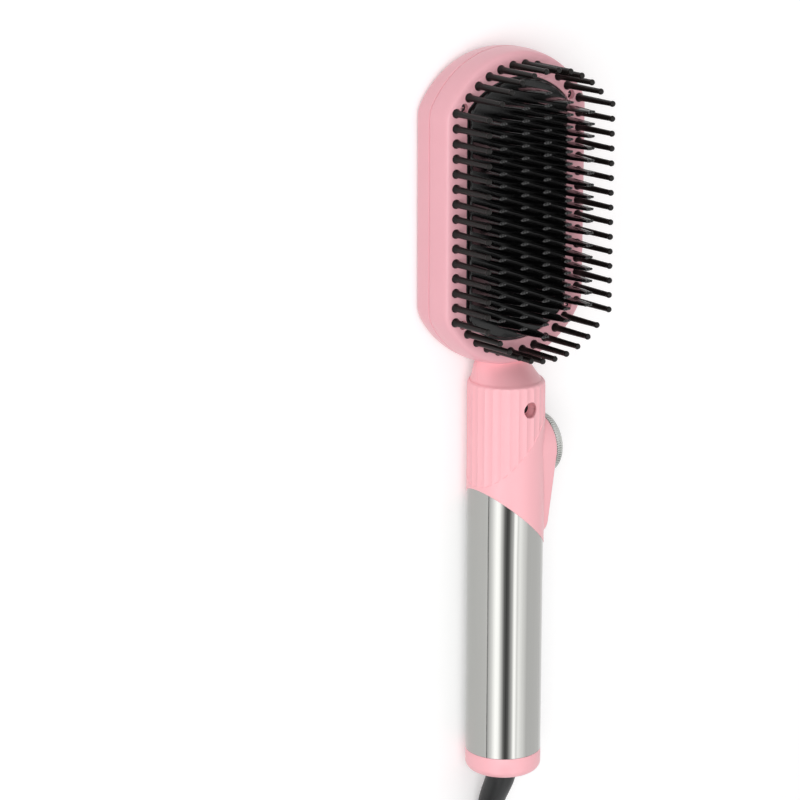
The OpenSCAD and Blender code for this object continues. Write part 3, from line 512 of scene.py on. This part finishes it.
screw_dx, screw_dy, screw_well_r, screw_well_depth = 42.6, 26.9, 1.85, 1.9
screw_places = [(head_x + sx * screw_dx, sy * screw_dy) for sx in (-1, 1) for sy in (-1, 1)]
cut_away(front_bezel, *[rod("well", screw_well_r, at, face_z - screw_well_depth, face_z + 2) for at in screw_places])
stands_for(front_bezel, "root", "pink_shell", "front_bezel")

# %% [markdown]
# ## The heated plate and its comb blades
#
# The plate is a slab with a polished bevel. Five rows of blades stand on it, each blade wide at its foot,
# thinned towards its tip, with three small nubs there that touch the scalp. One blade is modelled, and
# Geometry Nodes set it on every place of the rows. The outer rows use a second blade, cut at the plate's edge.

# %% The plate
plate_foot, plate_top = 18.2, face_z + 1.2
heated_plate = piece("heated_plate_slab", [skin(
    [plate_ring(z, g) for z, g in [
        (plate_foot, -2), (plate_foot, 0), (plate_top - 0.55, 0), (plate_top - 0.42, -0.05),
        (plate_top - 0.1, -0.37), (plate_top, -0.55), (plate_top, -0.8), (plate_top, -2.5)]]
)], plate_coating)
stands_for(heated_plate, "root", "black_coating", "heated_plate")

# %% One blade of each kind
blade_h, nub_r, foot_half, nub_pitch = 16.8, 0.6, 4.2, 1.35
uncut, cut_edge = 9, 1.8
# Share of the height, or a depth below the plate, and share of the foot's half width
blade_belly = [(-0.3, 0.9), (0.0, 0.92), (0.3, 1.0), (0.5, 0.93), (0.72, 0.72), (1 - nub_r / blade_h, 0.45)]


def blade_section(half_t, half_w, z, limit):
    """A lens-shaped section with softened edges, cut at the limit across the row."""
    side = [(1, 0), (0.94, 0.35), (0.74, 0.68), (0.4, 0.93), (0, 1)]
    quarter = [(half_t * x, half_w * y) for x, y in side]
    ring = quarter + [(-x, y) for x, y in quarter[-2::-1]]
    ring += [(-x, -y) for x, y in quarter[1:]] + [(x, -y) for x, y in quarter[-2:0:-1]]
    return [(x, min(y, limit), z) for x, y in ring]


def nub(y, z, r, rows=3, sides=8):
    """A small dome with its foot in the blade's tip."""
    lifts = [-0.6] + [radians(85 * i / rows) for i in range(rows + 1)]
    return skin([[(0.9 * u, y + v, z + r * sin(a)) for u, v in circle(r * cos(a), sides)] for a in lifts])


def blade(name, limit):
    rows = [blade_section(1.1 - 0.5 * max(h, 0), foot_half * w, blade_h * h if h > 0 else h, limit)
            for h, w in blade_belly]
    top = blade_h - nub_r
    nubs = [nub(min(s * nub_pitch, limit - 0.45), top, nub_r) for s in (-1, 0, 1)]
    return piece(name, [skin(rows)] + nubs, sharp=50)


blade_inner, blade_outer = blade("blade_inner", uncut), blade("blade_outer", cut_edge)
print("blade faces:", len(blade_inner.data.polygons))

# %% [markdown]
# The points for the blades are the vertices of a plain mesh. A named attribute marks the outer rows, and
# another one turns the blades of one outer row round, so that their cut side faces outwards. The tree puts
# the right blade on each point, makes the instances real and gives them their finish.

# %% Helpers for Geometry Nodes
def new_tree(name, **inputs):
    """A Geometry Nodes tree with its board and its named inputs."""
    tree = bpy.data.node_groups.new(name, "GeometryNodeTree")
    tree.interface.new_socket("Geometry", in_out="INPUT", socket_type="NodeSocketGeometry")
    tree.interface.new_socket("Geometry", in_out="OUTPUT", socket_type="NodeSocketGeometry")
    for label, kind in inputs.items():
        tree.interface.new_socket(label, in_out="INPUT", socket_type="NodeSocket" + kind)
    board = Board(tree)
    given = tree.nodes.new("NodeGroupInput")
    return tree, board, {socket.name: Value(board, socket) for socket in given.outputs}


def end_tree(board, shape, material):
    """Every tree ends with real geometry in its finish."""
    real = board.node("GeometryNodeRealizeInstances", {"Geometry": shape})
    done = board.node("GeometryNodeSetMaterial", {"Geometry": real, "Material": material})
    board.node("NodeGroupOutput", {"Geometry": done})


def grow(name, base, tree, sharp=EDGE, **values):
    """Runs a tree on a base object and keeps the result as a plain mesh."""
    modifier = base.modifiers.new(tree.name, "NODES")
    modifier.node_group = tree
    for item in tree.interface.items_tree:
        if item.item_type == "SOCKET" and item.in_out == "INPUT" and item.name in values:
            modifier[item.identifier] = values[item.name]
    base.name = name
    return settle(base, sharp)


def points_object(name, points):
    mesh = bpy.data.meshes.new(name)
    mesh.from_pydata([Vector(p) * MM for p in points], [], [])
    obj = bpy.data.objects.new(name, mesh)
    bpy.context.collection.objects.link(obj)
    return obj


# %% The tree for the comb rows
comb_tree, board, given = new_tree("comb_rows", Blade="Object", Outer_blade="Object")


def named(board, name):
    return board.node("GeometryNodeInputNamedAttribute", {"Name": name}, data_type="FLOAT")


turn_z = board.node("ShaderNodeCombineXYZ", {"Z": named(board, "half_turn") * pi})
turned = board.node("FunctionNodeEulerToRotation", {"Euler": turn_z})
rows = []
for label, chosen in (("Blade", 1 - named(board, "outer")), ("Outer_blade", named(board, "outer"))):
    shape = board.node("GeometryNodeObjectInfo", {"Object": given[label]}, out="Geometry")
    rows.append(board.node("GeometryNodeInstanceOnPoints", {
        "Points": given["Geometry"], "Selection": chosen, "Instance": shape, "Rotation": turned}))
end_tree(board, board.node("GeometryNodeJoinGeometry", {"Geometry": rows}), blade_coating)

# %% Five rows of blades
row_pitch, blade_pitch = 11.1, 4.8
row_blades = [17, 19, 21, 19, 17]
last_row = len(row_blades) - 1
places, outer, half_turn = [], [], []
for i, count in enumerate(row_blades):
    for k in range(count):
        places.append((head_x + (k - (count - 1) / 2) * blade_pitch, (i - last_row / 2) * row_pitch, plate_top))
        outer.append(float(i in (0, last_row)))
        half_turn.append(float(i == 0))
comb_base = points_object("comb_places", places)
for name, values in (("outer", outer), ("half_turn", half_turn)):
    comb_base.data.attributes.new(name, "FLOAT", "POINT").data.foreach_set("value", values)
comb_blades = grow("comb_blades", comb_base, comb_tree, 50, Blade=blade_inner, Outer_blade=blade_outer)
for helper in (blade_inner, blade_outer):
    bpy.data.objects.remove(helper)
stands_for(comb_blades, "root", "black_coating", *[f"comb_row_{i + 1}" for i in range(len(row_blades))])

# %% [markdown]
# ## The bristles
#
# Fifty nylon pins stand round the plate in two straight rows and two arcs. They are all alike: a flared
# collar, a slightly tapered rod and a small ball. The tree builds that pin from its sizes with the mesh
# nodes and sets it on the feet, so another length or thickness is one number.

# %% The tree for the bristles
bristle_tree, board, given = new_tree(
    "bristle_pins", Height="Float", Foot_radius="Float", Tip_radius="Float", Ball_radius="Float",
    Collar_radius="Float"
)


def cone(board, bottom, top, depth, at, sides=14):
    """An upright cone or cylinder with its foot at a height."""
    shape = board.node("GeometryNodeMeshCone", {
        "Vertices": sides, "Side Segments": 2, "Radius Bottom": bottom, "Radius Top": top, "Depth": depth})
    lift = board.node("ShaderNodeCombineXYZ", {"Z": at})
    return board.node("GeometryNodeTransform", {"Geometry": shape, "Translation": lift})


ball_z = given["Height"] - given["Ball_radius"]
ball = board.node("GeometryNodeMeshUVSphere", {"Segments": 14, "Rings": 8, "Radius": given["Ball_radius"]})
ball_up = board.node("ShaderNodeCombineXYZ", {"Z": ball_z})
pin_parts = [
    cone(board, given["Collar_radius"], given["Collar_radius"], 0.0008, -0.0004),
    cone(board, given["Collar_radius"] * 0.96, given["Foot_radius"] * 1.12, 0.0009, 0.0004),
    cone(board, given["Foot_radius"] * 1.12, given["Foot_radius"], 0.001, 0.0013),
    cone(board, given["Foot_radius"], given["Tip_radius"], ball_z - 0.0023, 0.0023),
    board.node("GeometryNodeTransform", {"Geometry": ball, "Translation": ball_up}),
]
pin = board.node("GeometryNodeJoinGeometry", {"Geometry": pin_parts})
pins = board.node("GeometryNodeInstanceOnPoints", {"Points": given["Geometry"], "Instance": pin})
end_tree(board, pins, nylon)

# %% Bristles on their feet
side_count, side_pitch, side_y = 15, 5.86, 31
side_feet = [(head_x + (i - (side_count - 1) / 2) * side_pitch, s * side_y, face_z)
             for s in (-1, 1) for i in range(side_count)]
arc_count, arc_r, arc_half, arc_inset = 10, 34.5, 46, 6
arc_x = head_len / 2 - arc_inset - arc_r
arc_angles = [arc_half * (2 * i / (arc_count - 1) - 1) for i in range(arc_count)]
end_feet = [(head_x + e * (arc_x + arc_r * cos(radians(a))), arc_r * sin(radians(a)), face_z)
            for e in (-1, 1) for a in arc_angles]
bristle_pins = grow(
    "bristle_pins", points_object("bristle_feet", side_feet + end_feet), bristle_tree, 40,
    Height=0.021, Foot_radius=0.0013, Tip_radius=0.00105, Ball_radius=0.00125, Collar_radius=0.00185
)
stands_for(bristle_pins, "root", "black_plastic", "side_bristles_left", "side_bristles_right", "tip_bristles",
           "neck_bristles")

# %% [markdown]
# ## The neck
#
# The neck is a sleeve in two halves, front and rear, over the end of the handle tube. Its handle end is cut
# at a slant. At the head it is drawn in to a flat oval. Shallow hollow flutes run along it and fade in at a
# second slanted line. The halves are made smooth first. Geometry Nodes then press the flutes in by a rule:
# a point may stay no further from the axis than the fluted radius for its angle.

# %% Stations of the neck
axis_z, neck_r, neck_wall = 15.7, 15.7, 2.1
cut_x, shoulder_x = -41, 14.2
cut_lean, run_lean = tan(radians(42)), tan(radians(47))
run_x = cut_x + neck_r * (run_lean + cut_lean) + 0.8
# Station, half width, lowest and highest z; the rim is a little crisper than the CAD's
shoulder = through([
    (shoulder_x, neck_r, 0, 2 * neck_r), (15.2, neck_r - 0.1, 0.1, 31.3), (15.9, neck_r - 0.4, 0.4, 30.9),
    (16.5, neck_r - 0.95, 0.85, 30), (17, neck_r - 1.6, 1.4, 28.8), (23, neck_r - 3.4, 4, 20.5),
    (26, neck_r - 4.8, 5.5, 19.5)
], 3)[1:]


def sleeve_x(row, y):
    """Where a row of points crosses the sleeve: from the slanted cut, along the run-out line, to the shoulder."""
    kind, value = row
    cut, run = cut_x + cut_lean * y, run_x - run_lean * y
    if kind == "cut":
        return cut + value
    if kind == "run":
        return run + value
    if kind == "mid":
        return cut + 0.3 + (run - cut - 0.5) * value
    return run + 1 + (shoulder_x - run - 1) * value


sleeve_rows = [(("cut", 0), 0.25), (("cut", 0.08), 0.08), (("cut", 0.25), 0)]
sleeve_rows += [(("mid", k / 6), 0) for k in range(1, 6)]
sleeve_rows += [(("run", k), 0) for k in (-0.2, 0, 0.12, 0.25, 0.45, 0.7, 1)]
sleeve_rows += [(("end", k / 8), 0) for k in range(1, 9)]


def neck_half(name, start):
    """One half of the neck as a closed shell, half a turn from start, with its seam's edges eased."""
    steps, seam_turn, seam = 112, 0.7, 0.12
    angles = [start, start + seam_turn, *(start + 180 * k / steps for k in range(1, steps)),
              start + 180 - seam_turn, start + 180]
    edge = [seam] + [0.0] * (steps + 1) + [seam]

    def ring(half_w, z0, z1, inset, station):
        middle, half_h = (z0 + z1) / 2, (z1 - z0) / 2
        points = []
        for a, e in zip(angles, edge):
            y = (half_w - inset - e) * cos(radians(a))
            points.append((station(y), y, middle + (half_h - inset - e) * sin(radians(a))))
        return points

    rings = []
    for row, inset in sleeve_rows:
        outer = ring(neck_r, 0, 2 * neck_r, inset, lambda y: sleeve_x(row, y))
        inner = ring(neck_r, 0, 2 * neck_r, neck_wall, lambda y: sleeve_x(row, y))
        rings.append(outer + inner[::-1])
    for x, half_w, z0, z1 in shoulder:
        rings.append(ring(half_w, z0, z1, 0, lambda y: x) + ring(half_w, z0, z1, neck_wall, lambda y: x)[::-1])
    return piece(name, [skin(rings)], pink_neck, sharp=26)


neck_front, neck_rear = neck_half("neck_front_half", 0), neck_half("neck_rear_half", 180)
print("neck faces before cutting:", len(neck_front.data.polygons))

# %% The rule that presses the flutes
flute_tree, board, given = new_tree(
    "neck_flutes", Flutes="Float", Depth="Float", Radius="Float", Axis_height="Float", Run_out="Float",
    Run_out_slope="Float", Run_out_length="Float", Ridge_angle="Float"
)
here = board.node("GeometryNodeInputPosition")
x, y, z = [board.node("ShaderNodeSeparateXYZ", {0: here}, out=k) for k in range(3)]
up = z - given["Axis_height"]
reach = (y * y + up * up) ** 0.5
phase = ((up.maths("ARCTAN2", y) - given["Ridge_angle"]) * given["Flutes"] / (2 * pi)).maths("FRACT")
across = 2 * phase - 1
hollow = 1 - across * across
fade = ((x - given["Run_out"] + given["Run_out_slope"] * y) / given["Run_out_length"]).clamped()
allowed = given["Radius"] - given["Depth"] * hollow * fade
scale = reach.maths("MINIMUM", allowed) / reach
pressed = board.node("ShaderNodeCombineXYZ", {"X": x, "Y": y * scale, "Z": up * scale + given["Axis_height"]})
fluted = board.node("GeometryNodeSetPosition", {"Geometry": given["Geometry"], "Position": pressed})
end_tree(board, fluted, pink_neck)
flutes = 28.0
flute_sizes = dict(
    Flutes=flutes, Depth=0.0004, Radius=neck_r * MM, Axis_height=axis_z * MM, Run_out=run_x * MM,
    Run_out_slope=run_lean, Run_out_length=0.0004, Ridge_angle=radians(135 / flutes)
)
neck_front = grow("neck_front_half", neck_front, flute_tree, 26, **flute_sizes)
neck_rear = grow("neck_rear_half", neck_rear, flute_tree, 26, **flute_sizes)

# %% [markdown]
# ## The dial's pod, the screw well and the neck's openings
#
# A tongue-shaped pod on the dial side carries the dial and the button. Its outline is a round head and a
# smaller round tail with straight sides between. The neck gets an opening a little wider than the pod, which
# leaves the fine seam that moulded covers show, and a deep well for its screw.

# %% The pod's own frame
dial_x, pod_top = -13, 16.3
pod_r, tail_r, tail_x = 13.3, 8.4, -29.5
pod_lean = degrees(asin((pod_r - tail_r) / -tail_x))


def pod(p):
    """From the pod's frame, with Z outwards to the dial side, to the brush's frame."""
    return dial_x + p[0], -p[2], axis_z + p[1]


def pod_ring(z, inset):
    ring = []
    for middle, r, half, steps in ((0, pod_r, 90 + pod_lean, 56), (tail_x, tail_r, 90 - pod_lean, 28)):
        start = -half if middle == 0 else 180 - half
        for i in range(steps + 1):
            a = radians(start + 2 * half * i / steps)
            ring.append(pod((middle + (r - inset) * cos(a), (r - inset) * sin(a), z)))
    return ring


def lathe(profile, centre=(0, 0), place=pod, sides=96):
    """Rings of a turned shape, given as radius and height, on an axis in a frame."""
    return [[place((x, y, z)) for x, y in circle(r, sides, centre)] for r, z in profile]


button_x = -27  # from the dial's axis
dial_pod = piece("dial_pod_cover", [skin(
    [pod_ring(z, s) for z, s in [(4, 0), (15.2, 0), (15.55, 0.05), (15.9, 0.22), (16.15, 0.5), (16.27, 0.85),
                                 (pod_top, 1.2), (pod_top, 1.6)]]
)], pink_neck)
button_well = piece("well", [skin(lathe([(4.9, 13), (4.9, 15.95), (5.15, 16.25), (5.3, 18)], (button_x, 0)))])
dial_well = piece("well", [skin(lathe([(10.9, 13.6), (10.9, 18)]))])
cut_away(dial_pod, button_well, dial_well)
stands_for(dial_pod, "root", "pink_shell", "dial_pod")

# %% Openings in the neck
recess_x, recess_r, pod_seam = 6.5, 3.2, 0.15


def upright(p):
    return recess_x + p[0], p[1], axis_z + p[2]


for half, node in ((neck_front, "neck_front"), (neck_rear, "neck_rear")):
    cutters = [piece("pod_opening", [skin([pod_ring(z, -pod_seam) for z in (2, 22)])])]
    if half is neck_front:
        cutters.append(piece("screw_opening", [skin(
            lathe([(recess_r, 2), (recess_r, 15.2), (recess_r + 0.3, 15.75), (recess_r + 0.6, 18)], place=upright)
        )]))
    cut_away(half, *cutters, sharp=26)
    if half is neck_front:
        well_line = [(0.01, 8.5), (4.4, 8.5), (4.4, 14.4), (recess_r, 14.4), (recess_r, 9.7), (0.01, 9.7)]
        joined(half, piece("screw_well", [skin(lathe(well_line, place=upright))]))
    stands_for(half, "root", "pink_shell", node)

# %% [markdown]
# ## The dial and the button
#
# The dial is a turned metal ring with a polished top edge, a fine knurl round it and a black glass window.
# The ring turns, so it rides on its own body. The knurl is one small rib, set round the ring by Geometry
# Nodes. The button is a dished metal cap with a plain on and off mark, a broken ring with a line.

# %% The dial ring's turned body
dial_r = 12.8
dial_body = piece("dial_ring", [skin(lathe(
    [(9.9, 14.0), (10.6, 14.0), (10.6, 16.6), (12.25, 16.6), (12.35, 16.75), (12.35, 18.95), (12.5, 19.05),
     (12.55, 19.25), (12.45, 19.5), (12.2, 19.72), (11.9, 19.84), (11.5, 19.9), (11.3, 19.88), (11.1, 19.75),
     (11.0, 19.55), (11.0, 17.6), (9.9, 17.6)], sides=160), closed=True)], dial_silver, sharp=40)

# %% The knurl
knurl_tree, board, given = new_tree("knurl_ribs", Ribs="Int", Ring_radius="Float", Rib_radius="Float", Height="Float")
ring_points = board.node("GeometryNodeMeshCircle", {"Vertices": given["Ribs"], "Radius": given["Ring_radius"]})
rib = board.node("GeometryNodeMeshCylinder", {
    "Vertices": 6, "Side Segments": 1, "Radius": given["Rib_radius"], "Depth": given["Height"]})
ribs = board.node("GeometryNodeInstanceOnPoints", {"Points": ring_points, "Instance": rib})
end_tree(board, ribs, dial_silver)
knurl = grow("knurl", points_object("knurl", [(0, 0, 0)]), knurl_tree, 40,
             Ribs=80, Ring_radius=(dial_r - 0.4) * MM, Rib_radius=0.00038, Height=0.0023)
knurl_middle = Vector(pod((0, 0, 17.8))) * MM
knurl.data.transform(Matrix.Translation(knurl_middle) @ Matrix.Rotation(radians(90), 4, "X"))
stands_for(joined(dial_body, knurl), "dial", "dial_silver", "dial_ring")

# %% The window
window = piece("dial_window_glass", [skin(lathe(
    [(0.01, 18.5), (10.3, 18.5), (10.65, 18.7), (10.7, 18.9), (10.7, 19.4), (10.6, 19.52), (10.35, 19.6), (8, 19.68),
     (4, 19.73), (0.01, 19.75)]
))], window_glass)
stands_for(window, "root", "window_black", "dial_window")


# %% The button and its mark
def button_finish():
    """Satin metal with a faint broken ring and a line in its middle, laid out in the button's own plane."""
    material, board = blank("button_satin")
    place = board.node("ShaderNodeTexCoord", out="Object")
    x, y, z = [board.node("ShaderNodeSeparateXYZ", {0: place}, out=k) for k in range(3)]
    u, v = x / MM - (dial_x + button_x), z / MM - axis_z
    line_r, half_line, half_gap, bar_from, bar_to, cap_front, crisp = 1.9, 0.22, 0.55, 0.2, 2.6, 16.2, 4
    away = (u * u + v * v) ** 0.5
    ring_line = 1 - (away - line_r).maths("ABSOLUTE") / half_line
    gap = (v.maths("ABSOLUTE") - half_gap).maths("MAXIMUM", -1 * u)
    bar = 1 - v.maths("ABSOLUTE") / half_line
    bar = bar.maths("MINIMUM", (u - bar_from) * crisp).maths("MINIMUM", (bar_to - u) * crisp)
    mark = ring_line.maths("MINIMUM", gap * crisp).maths("MAXIMUM", bar) * 3
    front = (y / MM + cap_front).maths("LESS_THAN", 0)
    mark = mark.clamped() * front
    satin = noise(board, 900, 3)
    return close(
        material, board,
        Base_Color=mix(board, mark, colour("C9C8C7"), colour("7B7A7D")),
        Metallic=0.7, Roughness=0.3 + 0.08 * satin, Normal=bump(board, satin, 0.000008),
    )


button_satin = button_finish()
push_button = piece("push_button_cap", [skin(lathe(
    [(0.01, 11.1), (1.5, 11.1), (1.5, 13.3), (5.5, 13.3), (5.5, 14.1), (4.6, 14.1), (4.6, 16.2), (4.55, 16.4),
     (4.4, 16.58), (4.1, 16.68), (3.8, 16.7), (3.3, 16.62), (2, 16.52), (0.01, 16.48)], (button_x, 0), sides=64
))], button_satin)
stands_for(push_button, "button", "button_silver", "push_button")

# %% [markdown]
# ## The handle
#
# The handle is a thin steel tube, polished like a mirror and cut at the neck's slant. A turned pink cap
# closes its end, and a tapered rubber sleeve leads the cord out of it and down to the table.

# %% The steel tube
rim_x, tube_r, tube_wall = -140, 15.5, 1


def tube_ring(r, x, slant):
    return [(x + slant * y, y, axis_z + z) for y, z in circle(r, 128)]


# Station, slant of the ring there, and how far its outer edge is eased
stretch = [(rim_x, 0, 0.12), (rim_x + 0.15, 0, 0)]
stretch += [(rim_x + (cut_x - rim_x) * k / 6, cut_lean * k / 6, 0) for k in range(1, 7)]
handle_tube = piece("handle_tube_steel", [skin(
    [tube_ring(tube_r - eased, x, slant) for x, slant, eased in stretch]
    + [tube_ring(tube_r - tube_wall, x, slant) for x, slant, eased in reversed(stretch)], closed=True
)], polished_steel)
stands_for(handle_tube, "root", "polished_tube", "handle_tube")


# %% The end cap
cap_x, cap_round = -149, 3.5


def along_x(p):
    return cap_x + p[2], p[0], axis_z + p[1]


cap_edge = [(tube_r - cap_round + cap_round * sin(radians(a)), cap_round - cap_round * cos(radians(a)))
            for a in range(0, 91, 9)]
end_cap = piece("end_cap_moulding", [skin(lathe(
    [(6.4, 3), (6.4, 0.5), (6.6, 0.15), (7.0, 0.0), (9, 0.0), *cap_edge, (tube_r, 8.7), (15.4, 8.92), (15.2, 9),
     (14.4, 9), (14.4, 17), (12.8, 17), (12.8, 3)], place=along_x), closed=True)], pink_neck)
stands_for(end_cap, "root", "pink_shell", "end_cap")

# %% The strain relief
# Station, y, height of the middle, radius
relief = through([
    (-147, 0, 15.7, 5.9), (-150, 0, 15.7, 5.9), (-154, 0, 14.4, 5.9), (-158, 0, 12.5, 5.75), (-163, 0, 10, 5.5),
    (-169, 0, 7.6, 5.1), (-177, 0, 5.5, 4.5), (-187, 0, 4.2, 3.9), (-195, 0, 3.6, 3.4)
], 5)


def swept(line):
    """Round rings square to a line that stays in one upright plane."""
    rings = []
    for i, (x, y, z, r) in enumerate(line):
        a, b = line[max(i - 1, 0)], line[min(i + 1, len(line) - 1)]
        ahead = Vector((b[0] - a[0], 0, b[2] - a[2])).normalized()
        over = Vector((-ahead.z, 0, ahead.x))
        rings.append([Vector((x, y + u, z)) + over * v for u, v in circle(r, 32)])
    return rings


tip = [(*relief[-1][:3], 3.0)]
strain_relief = piece("strain_relief_sleeve", [skin(swept(relief + tip))], black_rubber, sharp=45)
stands_for(strain_relief, "root", "cord_black", "strain_relief")

# %% The plug
plug_side, plug_half_t = [(0, 5.5), (7, 6.5), (17, 16.2), (21, 17.7), (36, 17.7)], 6.8
plug_outline = [(x, -y) for x, y in plug_side] + plug_side[::-1]
plug_shape = piece("plug_housing", [skin(
    [[(plug_x + x, plug_y + y, plug_z + z) for x, y in plug_outline] for z in (-plug_half_t, plug_half_t)]
)], black_rubber)
rounding = plug_shape.modifiers.new("rounding", "BEVEL")
rounding.width, rounding.segments, rounding.limit_method = 0.0016, 3, "ANGLE"
settle(plug_shape, 45)
plug_sleeve = piece("plug_sleeve", [skin([
    [(plug_x + x, y, z) for y, z in circle(r, 32, (plug_y, plug_z))]
    for x, r in [(-14, 3.0), (-14, 3.9), (-13.5, 4.3), (-12, 4.4), (2, 4.4)]
])], sharp=45)
stands_for(joined(plug_shape, plug_sleeve), "root", "cord_black", "plug_body")

# %% The cord's finish, its body and the CAD cord it stands for
cord_curve.materials.append(black_rubber)
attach(mains_cord, "root")
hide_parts("cord", "cord_coil")

# %% [markdown]
# ## The inner parts
#
# The parts inside are seen only where a well, a gap or an opened view shows them, so their CAD shapes stay.
# They still get real finishes: foil on the heaters, a mottled mica sheet, a printed board, lacquered leads.

# %% Finishes of the inner parts
def flecked(name, base, fleck, scale, roughness, metallic=0.0, at=0.55):
    """Two shades parted by a soft threshold in noise, as in foil, mica, solder mask or ceramic."""
    material, board = blank(name)
    spots = ((noise(board, scale, 4) - at) * 9).clamped()
    return close(
        material, board,
        Base_Color=mix(board, spots, colour(base), colour(fleck)),
        Metallic=metallic, Roughness=roughness + 0.12 * spots, Normal=bump(board, spots, 0.00001),
    )


inner_finishes = {
    "corner_screws": dark_screw, "neck_screw": dark_screw,
    "plate_gasket": moulded("gasket_rubber", "101011", "0B0B0C", 0.55),
    "heating_elements": flecked("element_foil", "C9C9C6", "B3B3B0", 900, 0.3, 0.9),
    "insulating_sheet": flecked("mica_sheet", "C7A878", "B08F5E", 700, 0.5),
    "pressure_plate": plain_steel, "pressure_screws": plain_steel, "spine_screws": plain_steel,
    "temperature_sensor": flecked("sensor_glass", "C97A2E", "A85F1E", 1200, 0.15),
    "thermal_fuse": flecked("fuse_ceramic", "EFEDE6", "DAD7CC", 1500, 0.35),
    "heater_leads": flecked("red_lead", "A12A22", "8B211B", 2000, 0.45),
    "mains_leads": flecked("brown_lead", "5A3A26", "4B2F1E", 2000, 0.45),
    "spine": frame_white, "display_cup": inner_grey,
    "display_module": flecked("display_black", "0C0D10", "15171C", 1200, 0.2),
    "dial_board": flecked("dial_board_mask", "1E6B42", "268052", 500, 0.35),
    "control_board": flecked("control_board_mask", "1B6340", "247A4C", 400, 0.35),
    "dial_sensor": flecked("sensor_body", "1A1A1C", "242427", 900, 0.5),
    "tact_switch": flecked("switch_body", "4A4B4D", "5A5B5E", 900, 0.5),
    "board_components": flecked("component_grey", "6A6C70", "55575B", 700, 0.45),
    "cord_clamp": inner_grey,
    "plug_pins": metal("pin_brass", "CDB98A", 0.25, 0.1, (40, 400, 400)),
}
for name, finish in inner_finishes.items():
    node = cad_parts[name]
    for slot in node.material_slots:
        slot.material = finish
print("CAD parts with finishes:", len(inner_finishes))

# %% [markdown]
# ## The studio
#
# The floor is white and keeps the brush's soft shadow. A large lamp above, on the camera's side, gives the
# light, and the sky fills the shadows. What the camera, the steel and the glass see of the sky is white.
# Polished steel shows its shape only by what stands round it, so a bent screen of dark and bright cards hangs
# on the camera's side. Only reflections see it, as with the cards of a photographer.

# %% Floor and sky
def background_rays(board):
    """One for rays that see the background: from the camera, off gloss, or through glass."""
    rays = [board.node("ShaderNodeLightPath", out=f"Is {kind} Ray") for kind in ("Camera", "Glossy", "Transmission")]
    return rays[0].maths("MAXIMUM", rays[1]).maths("MAXIMUM", rays[2])


floor_paint, board = blank("floor_paint")
diffuse = board.node("ShaderNodeBsdfDiffuse", {"Color": (0.9, 0.9, 0.9, 1)})
place = board.node("ShaderNodeTexCoord", out="Object")
x, y = [board.node("ShaderNodeSeparateXYZ", {0: place}, out=k) for k in range(2)]
far = (((x * x + y * y) ** 0.5 - 0.5) / 2).clamped()
lift = background_rays(board) * (0.24 + 0.2 * far)
glow = board.node("ShaderNodeEmission", {"Color": (1, 1, 1, 1), "Strength": lift})
board.node("ShaderNodeOutputMaterial", {"Surface": board.node("ShaderNodeAddShader", {0: diffuse, 1: glow})})
floor_half, floor_z = 4000, -0.3
corners = [(sx * floor_half, sy * floor_half, floor_z) for sx, sy in ((-1, -1), (1, -1), (1, 1), (-1, 1))]
floor = piece("studio_floor", [(corners, [(0, 1, 2, 3)])], floor_paint)

sky = bpy.data.worlds.new("studio_sky")
sky.use_nodes = True
sky.node_tree.nodes.clear()
board = Board(sky.node_tree)
seen = background_rays(board)
light = board.node("ShaderNodeBackground", {"Color": (1, 1, 1, 1), "Strength": 0.6 + 0.4 * seen})
board.node("ShaderNodeOutputWorld", {"Surface": light})
bpy.context.scene.world = sky

# %% The lamp
key_data = bpy.data.lights.new("key_lamp", "AREA")
key_data.shape, key_data.size, key_data.energy = "DISK", 1.0, 9.7
key = bpy.data.objects.new("key_lamp", key_data)
key.location = (0.1, 0.85, 1.22)
key.rotation_euler = (Vector((0.03, 0, 0)) - key.location).to_track_quat("-Z", "Y").to_euler()
bpy.context.collection.objects.link(key)

# %% The screen of cards that only reflections see
screen_r, screen_steps = 700, 64
screen_from, screen_to = -4, 124
# Angle round the handle and brightness at the edges of the cards, from the floor up: a dim foot, a broad soft
# light, a black card, a narrow strip light, and a wall that dims upwards
dim_foot = [(screen_from, 0.1), (0, 0.2), (3, 0.9)]
broad_light = [(27, 2.4), (33, 2.3)]
black_card = [(50, 0.3), (57, 0.1), (64, 0.2)]
strip_light = [(74, 1), (80, 2.3), (85, 2.3)]
wall = [(89, 1.5), (96, 1.9), (screen_to, 1)]
cards = dim_foot + broad_light + black_card + strip_light + wall
span = screen_to - screen_from
arc = [radians(screen_from + span * k / screen_steps) for k in range(screen_steps + 1)]
screen_points = [(x, screen_r * cos(a), axis_z + screen_r * sin(a)) for x in (-1600, 900) for a in arc]
next_row = len(arc)
screen_faces = [(k, k + 1, next_row + k + 1, next_row + k) for k in range(screen_steps)]
screen_paint, board = blank("screen_paint")
place = board.node("ShaderNodeTexCoord", out="Object")
y, z = [board.node("ShaderNodeSeparateXYZ", {0: place}, out=k) for k in (1, 2)]
waver = noise(board, 9, 2, (0.25, 1, 1))
angle = (z - axis_z * MM).maths("ARCTAN2", y) * (180 / pi) + 5 * (waver - 0.5)
brightest = 3.0
tone = board.node("ShaderNodeValToRGB", {"Fac": (angle - screen_from) / span}, stops=[
    ((a - screen_from) / span, (*[v / brightest] * 3, 1)) for a, v in cards])
shine = board.node("ShaderNodeEmission", {"Color": tone, "Strength": brightest})
board.node("ShaderNodeOutputMaterial", {"Surface": shine})
screen = piece("striped_screen", [(screen_points, screen_faces)], screen_paint)
for ray in ("camera", "diffuse", "transmission", "shadow", "volume_scatter"):
    setattr(screen, "visible_" + ray, False)
